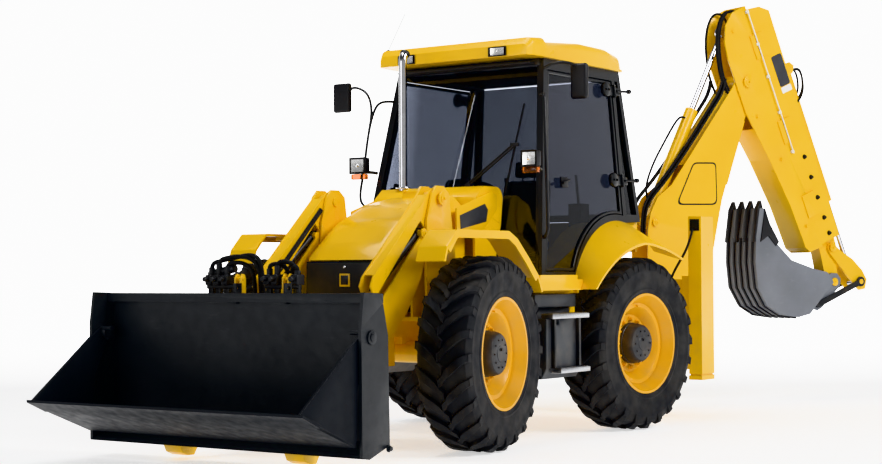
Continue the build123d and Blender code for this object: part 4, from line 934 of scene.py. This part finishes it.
# --- nose and body
def grille():
    """Slotted black front below the bonnet's nose, and the bonnet's side plates."""
    low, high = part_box("grille")
    front, wide, tall = high.x, high.y - low.y - 0.1, high.z - low.z - 0.1
    parts = []
    for z in spread(9, low.z + 0.075, high.z - 0.075):
        parts.append(block((0.012, wide, 0.014), (front - 0.012, 0, z), 0.003))
    for y in (-0.16, 0.0, 0.16):
        parts.append(block((0.01, 0.016, tall), (front - 0.02, y, (low.z + high.z) / 2), 0.003))
    piece("grille_bars", parts, PLASTIC)
    refined("grille", PLASTIC, 0.01)
    # name, size, place, edge, material
    rows = [
        ("nose_panel", (0.012, 0.7, 0.325), (0.006, 0, 1.2205), 0.005, HUB_GREY),
        ("nose_badge", (0.006, 0.096, 0.096), (0.0145, 0.02, 1.255), 0.002, YELLOW),
        ("nose_badge_face", (0.003, 0.07, 0.07), (0.018, 0.02, 1.255), 0.001, DECAL_GREY),
    ]
    for name, size, (x, y, z), edge, material in rows:
        piece(name, block(size, (front + x, y, z), edge), material)
    lock = rod((front + 0.012, 0.02, 1.352), (front + 0.019, 0.02, 1.352), 0.012, 20, 0.002)
    piece("nose_lock", lock, CHROME)
    outline = [
        (1.86, 1.585), (1.86, 1.8), (1.38, 1.945), (1.3, 1.92), (1.3, 1.8), (1.46, 1.66),
        (1.6, 1.585),
    ]
    face = [(1.81, 1.64), (1.82, 1.745), (1.475, 1.845), (1.43, 1.8), (1.455, 1.705)]
    for side, word in SIDES:
        cover = plate(outline, 0.016, 0.004, side * 0.507)
        piece(f"{word}_bonnet_plate", cover, YELLOW)
        blank = plate(face, 0.003, 0.0006, side * 0.5162)
        piece(f"{word}_bonnet_panel", blank, DECAL_GREY)


def side_details():
    """Polished treads, dark blocks under the cab that are partly cover plates and partly painted
    shade, black sheets of painted shade in the legs' slots, and the legs' hoses.
    """
    leg_line = [
        (-1.095, 1.02, 1.69), (-1.06, 1.015, 1.6), (-1.045, 0.97, 1.48), (-1.05, 0.9, 1.38),
        (-1.07, 0.84, 1.3), (-1.1, 0.8, 1.245),
    ]
    for side, word in SIDES:
        treads = []
        for x0, x1, z in ((0.888, 1.442, 0.9675), (0.878, 1.322, 0.5475)):
            middle = ((x0 + x1) / 2, side * 1.06, z)
            treads.append(block((x1 - x0, 0.104, 0.0385), middle, 0.004))
            for x in spread(16, x0 + 0.03, x1 - 0.03):
                treads.append(block((0.01, 0.084, 0.006), (x, side * 1.06, z + 0.021), 0.002))
        piece(f"{word}_step_treads", treads, STEEL)
        # partly painted shade: dark grey blocks stand for the cover plates and for the shade under
        # the cab
        covers_and_shade = [
            block((0.62, 0.3, 0.105), (1.13, side * 0.8, 1.085), 0.008),
            block((0.14, 0.1, 0.12), (0.81, side * 0.66, 1.07), 0.01),
        ]
        piece(f"{word}_under_cab_cover_and_shade", covers_and_shade, TANK_GREY)
        # painted shade: a thin black sheet on the leg's face stands for the shade inside the slot
        slot = block((0.004, 0.094, 0.105), (-1.0992, side * 1.035, 1.722), 0.001)
        piece(f"{word}_leg_slot_shade", slot, SEAL)
        hose(f"{word}_leg_hose", [(x, side * y, z) for x, y, z in leg_line], 0.011, "chassis")


def body_panels():
    """The bonnet, mudguards, tanks, steps and frames."""
    refined("bonnet", YELLOW, 0.01, 3)
    refined("mudguards", YELLOW, 0.005)
    refined("cab_base", YELLOW, 0.006)
    refined("side_tanks", TANK_GREY, 0.022, 3)
    refined("steps", BLACK, 0.004)
    side_details()
    refined("main_frame", YELLOW, 0.004)
    refined("rear_frame", YELLOW, 0.004)


# --- loader
# outer faces, from the middle: the shovel's cheeks, the loader towers and the arms
CHEEK_Y = 1.236
TOWER_Y = 0.596
ARM_Y = 0.563


def pin_ends(joint, centre, axis, out, radius, body):
    """A joint's two pin heads, each a stepped disc and its bolt, out from the middle."""
    for side, word in SIDES:
        along = axis * side
        place = centre + along * out
        along = along.normalized()
        parts = [
            rod(place, place + along * 0.014, radius, 28, 0.003),
            rod(place + along * 0.014, place + along * 0.02, radius * 0.62, 24, 0.002),
            bolt(place + along * 0.019, along, radius * 0.42),
        ]
        piece(f"{joint}_pin_{word}", parts, YELLOW, body)


def shovel_bosses():
    """Pivot bosses on the shovel's cheeks."""
    x, _, z = JOINTS["clam_open"]["pos_m"]
    at = x + 0.01
    parts = []
    for side, _ in SIDES:
        face, inner = side * CHEEK_Y, side * (CHEEK_Y - 0.014)
        step = face + side * 0.012
        hook = (x + 0.035, inner - side * 0.02, z + 0.03)
        parts += [
            rod((at, face, z), (at, step, z), 0.046, 32, 0.003),
            rod((at, step, z), (at, face + side * 0.02, z), 0.026, 24, 0.003),
            bolt((3.7, face, 0.165), (0, side, 0), 0.034),
            rod((at, inner, z), (at, inner - side * 0.075, z), 0.042, 24, 0.006),
            block((0.07, 0.045, 0.1), (x - 0.02, inner - side * 0.055, z - 0.005), 0.01),
            rod(hook, (x + 0.035, inner - side * 0.13, z + 0.03), 0.014, 16),
        ]
    piece("shovel_bosses", parts, SHOVEL_BLACK, "shovel")


def shovel_couplings():
    """The row of hose couplings on the shovel's top edge."""
    parts = []
    rows = ((-0.4, 0.05), (-0.33, 0.08), (-0.25, 0.06), (0.14, 0.04), (0.21, 0.06), (0.39, 0.025))
    for y, high in rows:
        parts += [
            block((0.09, 0.062, 0.075), (3.6, y, 1.262), 0.012, 3),
            rod((3.6, y, 1.29), (3.6, y, 1.3 + high), 0.022, 18, 0.004),
            rod((3.64, y, 1.268), (3.685, y, 1.268), 0.018, 18, 0.004),
            block((0.03, 0.05, 0.15), (3.6, y, 1.165), 0.006),
        ]
    parts += [
        block((0.05, 0.34, 0.03), (3.6, -0.26, 1.215), 0.006),
        block((0.05, 0.3, 0.03), (3.6, 0.26, 1.215), 0.006),
        rod((3.575, -0.44, 1.3), (3.575, -0.2, 1.345), 0.03, 20, 0.006),
    ]
    piece("shovel_couplings", parts, HUB_BLACK, "shovel")


def shovel_hooks():
    """The yellow coupler plates behind the couplings and the feet under the shovel."""
    parts = []
    outline = [
        (3.6, 1.1), (3.655, 1.1), (3.655, 1.275), (3.635, 1.305), (3.61, 1.3), (3.6, 1.27),
    ]
    for y in (-0.11, 0.325):
        for gap in (-0.024, 0.024):
            parts.append(plate(outline, 0.014, 0.003, y + gap))
        parts.append(rod((3.628, y - 0.036, 1.268), (3.628, y + 0.036, 1.268), 0.012, 16, 0.003))
    foot = [(3.64, 0.125), (3.86, 0.125), (3.825, 0.055), (3.76, 0.03), (3.7, 0.03)]
    for y in (-0.555, 0.555):
        parts.append(plate(foot, 0.16, 0.006, y))
    piece("shovel_hooks", parts, YELLOW, "shovel")


# each hose's bend, from its coupling down behind the shovel
SHOVEL_BENDS = [
    [
        (3.6, -0.4, 1.345), (3.6, -0.395, 1.38), (3.59, -0.34, 1.395), (3.575, -0.22, 1.415),
        (3.56, -0.08, 1.44), (3.55, -0.01, 1.42), (3.54, 0.02, 1.34), (3.535, 0.03, 1.15),
    ],
    [
        (3.6, -0.33, 1.375), (3.6, -0.32, 1.405), (3.59, -0.26, 1.42), (3.58, -0.16, 1.43),
        (3.56, -0.05, 1.41), (3.55, 0.0, 1.34), (3.545, 0.01, 1.24), (3.54, 0.01, 1.12),
    ],
    [
        (3.6, -0.25, 1.355), (3.6, -0.24, 1.375), (3.59, -0.2, 1.385), (3.575, -0.12, 1.38),
        (3.56, -0.06, 1.34), (3.55, -0.04, 1.26), (3.545, -0.04, 1.12),
    ],
    [
        (3.6, 0.14, 1.335), (3.6, 0.14, 1.36), (3.58, 0.17, 1.375), (3.56, 0.23, 1.365),
        (3.55, 0.265, 1.32), (3.545, 0.27, 1.23), (3.54, 0.27, 1.12),
    ],
    [
        (3.6, 0.21, 1.355), (3.6, 0.215, 1.38), (3.58, 0.25, 1.392), (3.56, 0.32, 1.372),
        (3.55, 0.35, 1.32), (3.545, 0.355, 1.23), (3.54, 0.355, 1.12),
    ],
    [
        (3.6, 0.39, 1.32), (3.6, 0.385, 1.345), (3.585, 0.35, 1.355), (3.565, 0.31, 1.33),
        (3.55, 0.3, 1.26), (3.54, 0.3, 1.14),
    ],
]
# x, z of the hoses along a loader arm, then each hose's rise and place from the middle
ARM_LINE = [(2.33, 1.735), (2.5, 1.575), (2.7, 1.385), (2.9, 1.2), (2.955, 1.12)]
ARM_HOSES = [(0.045, 0.44), (0.07, 0.44), (0.058, 0.425)]


def loader_hoses():
    """The hoses over the shovel's edge and along the arms."""
    for index, points in enumerate(SHOVEL_BENDS):
        hose(f"shovel_hose_{index}", points, 0.016, "shovel")
    for side, word in SIDES:
        for index, (rise, y) in enumerate(ARM_HOSES):
            points = [(x, side * y, z + rise) for x, z in ARM_LINE]
            hose(f"{word}_arm_hose_{index}", points, 0.0105, "loader_arms")


def loader():
    """The arms, cranks, links and shovel with their pins and hoses."""
    refined("loader_arms", YELLOW, 0.004)
    for node in ("bell_cranks", "shovel_links", "lift_ram_barrels"):
        refined(node, YELLOW, 0.003)
    refined("shovel", SHOVEL_BLACK, 0.005)
    # the clam in the darker copy of the shovel's black, painted shade
    refined("shovel_clam", SHADED_CLAM_BLACK, 0.004)
    shovel_bosses()
    shovel_couplings()
    shovel_hooks()
    loader_hoses()
    # joint, radius of the head, body, distance from the middle
    rows = [
        ("loader_lift", 0.052, "chassis", TOWER_Y),
        ("lift_ram_pivot", 0.042, "chassis", TOWER_Y),
        ("bell_crank_pivot", 0.04, "loader_arms", ARM_Y),
        ("tilt_ram_pivot", 0.036, "loader_arms", ARM_Y),
        ("shovel_tilt", 0.044, "loader_arms", ARM_Y),
    ]
    for joint, radius, body, out in rows:
        x, _, z = JOINTS[joint]["pos_m"]
        pin_ends(joint, Vector((x, 0, z)), Vector((0, 1, 0)), out, radius, body)


# --- backhoe
ACROSS = Vector(JOINTS["boom_lift"]["axis"])
BACKWARDS = Vector((-ACROSS.y, ACROSS.x, 0))
UP = Vector((0, 0, 1))
KING = Vector((JOINTS["backhoe_slew"]["pos_m"][0], 0, 0))
ALONG = Vector(JOINTS["dipper_extend"]["axis"])
DIPPER_BACK = BACKWARDS * -ALONG.z + UP * ALONG.dot(BACKWARDS)
DIPPER_PIN = Vector(JOINTS["dipper_swing"]["pos_m"])
# side faces, from the middle: the boom, the dipper, and its extension under the panels
BOOM_FACE = 0.13
DIPPER_FACE = 0.1515
EXTENSION_PANEL_FACE = 0.1517
# how much of a panel's shorter side its corner takes up
CORNER_SHARE = 0.16


def hoe(s, z, y=0.0):
    """A point s behind the kingpost, at height z, y to the digging arm's left."""
    return KING + BACKWARDS * s + ACROSS * y + UP * z


def dip(a, b, y=0.0):
    """A point a along the dipper from its pivot, b towards its back, y to its left."""
    return DIPPER_PIN + ALONG * a + DIPPER_BACK * b + ACROSS * y


def flat_panel(name, corners, lift, thickness, body, material):
    """A thin plate with rounded corners laid on a side face through its corner points."""
    normal = (corners[1] - corners[0]).cross(corners[2] - corners[1]).normalized()
    if normal.dot(ACROSS) < 0:
        normal = -normal
    outline = []
    for index, corner in enumerate(corners):
        before, after = corners[index - 1], corners[(index + 1) % len(corners)]
        radius = CORNER_SHARE * min((before - corner).length, (after - corner).length)
        start = corner + (before - corner).normalized() * radius
        end = corner + (after - corner).normalized() * radius
        for t in spread(5, 0, 1):
            outline.append(start * (1 - t) ** 2 + corner * 2 * t * (1 - t) + end * t ** 2)
    bm = bmesh.new()
    face = bm.faces.new([bm.verts.new(point + normal * lift) for point in outline])
    grown(bm, face, normal * thickness)
    piece(name, bm, material, body)


def backhoe_hoses():
    """Black hoses up the boom, over the dipper's head and down the rams, and a pipe."""
    boom_line = [
        (0.16, 1.58), (0.15, 1.8), (0.22, 1.99), (0.42, 2.18), (0.62, 2.41), (0.8, 2.63),
        (1.0, 2.89), (1.15, 3.08), (1.17, 3.2),
    ]
    rows = [(0.118, 0.0), (0.094, 0.0), (0.106, 0.024), (-0.118, 0.0), (-0.094, 0.0)]
    for index, (y, lift) in enumerate(rows):
        points = [hoe(s - lift, z + lift, y) for s, z in boom_line]
        hose(f"boom_hose_{index}", points, 0.0125, "boom")
    head_line = [
        (0.04, -0.215), (-0.12, -0.235), (-0.3, -0.2), (-0.46, -0.15), (-0.6, -0.075),
        (-0.7, 0.03), (-0.712, 0.12), (-0.66, 0.19), (-0.58, 0.2),
    ]
    rows = [(0.105, 0.0), (0.075, 0.012), (0.115, 0.03), (-0.09, 0.01)]
    for index, (y, lift) in enumerate(rows):
        points = [dip(a, b - lift, y) for a, b in head_line]
        hose(f"head_hose_{index}", points, 0.0125, "dipper")
    for index, (y, reach) in enumerate([(0.06, 0.1), (0.02, 0.14), (-0.03, 0.12)]):
        points = [
            dip(0.12, 0.6, y), dip(0.1, 0.66 + reach, y), dip(0.22, 0.68 + reach, y + 0.01),
            dip(0.4, 0.66 + reach * 0.6, y), dip(0.44, 0.6, y),
        ]
        hose(f"extension_hose_{index}", points, 0.011, "dipper_extension")
    gland = Vector(JOINTS["dipper_ram_pivot"]["pos_m"])
    along = Vector(JOINTS["dipper_ram_slide"]["axis"])
    out = along.cross(ACROSS).normalized()
    if out.dot(BACKWARDS) > 0:
        out = -out
    ram_line = [
        (1.12, 0.05), (1.12, 0.1), (1.02, 0.14), (0.8, 0.17), (0.55, 0.2), (0.32, 0.19),
        (0.2, 0.12), (0.15, 0.06),
    ]
    points = [gland + along * a + out * b + ACROSS * 0.02 for a, b in ram_line]
    hose("dipper_ram_hose", points, 0.011, "dipper_ram_barrel")
    parts = [rod(dip(-0.66, 0.262, 0.178), dip(0.86, 0.262, 0.178), 0.0075, 12)]
    turn = Matrix((DIPPER_BACK, ACROSS, ALONG)).transposed()
    for a in (-0.64, -0.3, 0.04, 0.42, 0.84):
        clip = block((0.034, 0.026, 0.03), edge=0.004)
        parts.append(put(clip, dip(a, 0.262, 0.166), turn))
    piece("dipper_pipe", parts, PIPE_WHITE, "dipper")


def backhoe_panels():
    """Blank panels on the boom and the dipper extension, and the dipper's bolts."""
    rows = ((0.747, 2.366), (1.029, 2.374), (1.041, 1.958), (0.53, 1.949))
    outer = [hoe(s, z, BOOM_FACE) for s, z in rows]
    flat_panel("boom_panel_border", outer, 0.0004, 0.002, "boom", BLACK)
    middle = sum(outer, Vector()) / len(outer)
    field = [corner.lerp(middle, 0.07) for corner in outer]
    flat_panel("boom_panel_field", field, 0.0025, 0.0012, "boom", YELLOW)
    for name, start, end, material in (
        ("dark", -0.12, 0.2, DECAL_GREY), ("pale", 0.205, 0.27, PIPE_WHITE),
    ):
        rows = ((start, 0.385), (start, 0.525), (end, 0.525), (end, 0.385))
        corners = [dip(a, b, EXTENSION_PANEL_FACE) for a, b in rows]
        flat_panel(f"extension_panel_{name}", corners, 0.0004, 0.002, "dipper_extension", material)
    row = (0.95, 1.17, 1.39, 1.61, 1.78)
    heads = [bolt(dip(a, 0.4, DIPPER_FACE), ACROSS, 0.034) for a in row]
    piece("extension_bolts", heads, BLACK, "dipper_extension")
    places = ((-0.52, 0.02), (0.36, -0.02), (0.86, 0.1), (1.6, 0.14))
    heads = [bolt(dip(a, b, DIPPER_FACE), ACROSS, 0.03) for a, b in places]
    piece("dipper_bolts", heads, YELLOW, "dipper")


def bucket_plate(outline, thickness, edge, y):
    """A plate of the digging bucket from an outline of (s, z), its middle at y."""
    turn = Matrix((-BACKWARDS, ACROSS, UP)).transposed()
    return put(plate([(-s, z) for s, z in outline], thickness, edge), KING + ACROSS * y, turn)


def bucket_wear():
    """Black teeth, side cutters and wear strips over the digging bucket's own."""
    tooth = [(1.425, 1.6), (1.49, 1.6), (1.545, 1.93), (1.522, 2.012), (1.475, 1.93)]
    teeth = [bucket_plate(tooth, 0.056, 0.004, y) for y in (-0.195, -0.065, 0.065, 0.195)]
    piece("bucket_teeth", teeth, PLASTIC, "digging_bucket")
    skin = [(1.45, 1.64), (1.44, 1.4), (1.47, 1.15), (1.59, 0.97), (1.76, 0.88), (2.0, 0.85)]
    ribs = []
    for y in (-0.18, -0.09, 0.0, 0.09, 0.18):
        points = [
            hoe(s - 0.009, z - (0.009 if index > 2 else 0), y) for index, (s, z) in enumerate(skin)
        ]
        ribs.append(strip(points, 0.024, 0.014, ACROSS))
    piece("bucket_wear_strips", ribs, PLASTIC, "digging_bucket")
    cutter = [(1.5, 1.6), (1.56, 1.93), (1.62, 1.78), (1.74, 1.6), (1.7, 1.56), (1.6, 1.66)]
    cutters = [bucket_plate(cutter, 0.012, 0.002, side * 0.2315) for side, _ in SIDES]
    piece("bucket_side_cutters", cutters, PLASTIC, "digging_bucket")


def backhoe():
    """The kingpost, boom, dipper, extension and bucket with their pins and hoses."""
    nodes = """kingpost boom dipper dipper_extension boom_ram_barrel dipper_ram_barrel
        crowd_ram_barrel sideshift_carriage tipping_lever"""
    for node in nodes.split():
        refined(node, YELLOW, 0.004)
    refined("tipping_link", BLACK, 0.006)
    refined("digging_bucket", BUCKET_GREY, 0.004)
    backhoe_hoses()
    backhoe_panels()
    bucket_wear()
    # joint, radius of the head, body, distance from the middle
    rows = [
        ("boom_lift", 0.055, "kingpost", 0.142),
        ("dipper_swing", 0.06, "dipper", 0.164),
        ("dipper_ram_pivot", 0.045, "boom", 0.14),
        ("tipping_lever_pivot", 0.04, "dipper_extension", 0.112),
        ("bucket_curl", 0.042, "dipper_extension", 0.1),
    ]
    for joint, radius, body, out in rows:
        pin_ends(joint, Vector(JOINTS[joint]["pos_m"]), ACROSS, out, radius, body)


cab()
grille()
body_panels()
loader()
backhoe()
wiper()


# --- stage
# the way the backdrop lies, the sky and the far floor being brightest there
BACKDROP = (-0.819, -0.574, 0.0)
FLOOR_HALF = 300
FLOOR_GLOW = 0.58
FAR_GLOW = 2.8
SKY_GLOW = 3.0
SKY_TOP = 0.22
SKY_FRONT = 0.145
SKY_SIDE = 0.415
LIGHT_SIZE = 5.0
# name, place, power, aim
LIGHTS = [
    ("key", (0.5, 11.5, 9.0), 1150, (0.8, 0, 1.2)),
    ("top", (3.0, -1.0, 9.5), 420, (1.0, 0, 1.0)),
    ("front_fill", (14.0, -3.0, 4.0), 190, (2.5, 0, 1.0)),
]
CAMERA_PLACE = (12.614, 7.925, 1.291)
CAMERA_YAW, CAMERA_PITCH, CAMERA_ROLL = -2.529, 0.025, -0.005
CAMERA_LENS, CAMERA_SENSOR = 69.86, 36


def studio():
    """White floor that fades into a white sky, with one broad key from the left."""
    bm = bmesh.new()
    bmesh.ops.create_grid(bm, x_segments=1, y_segments=1, size=FLOOR_HALF)
    mesh = bpy.data.meshes.new("floor")
    bm.to_mesh(mesh)
    bm.free()
    material, tree, shader = new_material("studio_floor")
    away = facing(tree, where(tree), BACKDROP)
    fill(tree, shader, {
        "Base Color": (0.84, 0.84, 0.85, 1),
        "Roughness": 0.7,
        "Specular IOR Level": 0.2,
        "Emission Color": (1, 1, 1, 1),
        "Emission Strength": fading(tree, away, 5.0, 14.0, FLOOR_GLOW, FAR_GLOW),
    })
    mesh.materials.append(material)
    linked("floor", mesh)
    world = bpy.data.worlds.new("studio_sky")
    bpy.context.scene.world = world
    world.use_nodes = True
    tree = world.node_tree
    place = where(tree, "Generated")
    height = new_node(tree, "SeparateXYZ", {"Vector": place}).outputs["Z"]
    # white at eye level and below, a dimmer dome above
    sky = ramp(tree, height, [(0.0, 1.0), (0.22, 1.0), (0.45, SKY_TOP), (1.0, SKY_TOP * 1.3)])
    stops = [(0.3, SKY_FRONT), (0.7, SKY_SIDE), (0.8, SKY_SIDE), (0.95, 1.0)]
    backdrop = ramp(tree, facing(tree, place, BACKDROP), stops)
    fill(tree, tree.nodes["Background"], {
        "Color": times(tree, sky, backdrop), "Strength": SKY_GLOW,
    })
    for name, place, power, aim in LIGHTS:
        light = bpy.data.lights.new(name, "AREA")
        light.size = LIGHT_SIZE
        light.energy = power
        made = linked(name, light)
        made.location = place
        made.rotation_euler = (Vector(aim) - Vector(place)).to_track_quat("-Z", "Y").to_euler()


def camera():
    """The three-quarter view from the front left, low down."""
    lens = bpy.data.cameras.new("camera")
    lens.sensor_width = CAMERA_SENSOR
    lens.lens = CAMERA_LENS
    lens.clip_end = FLOOR_HALF
    made = linked("camera", lens)
    made.location = CAMERA_PLACE
    turn = Euler((pi / 2 + CAMERA_PITCH, 0, CAMERA_YAW - pi / 2)).to_matrix()
    made.rotation_euler = (turn @ Matrix.Rotation(CAMERA_ROLL, 3, "Z")).to_euler()
    bpy.context.scene.camera = made


studio()
camera()
bpy.context.scene.view_settings.view_transform = "Khronos PBR Neutral"
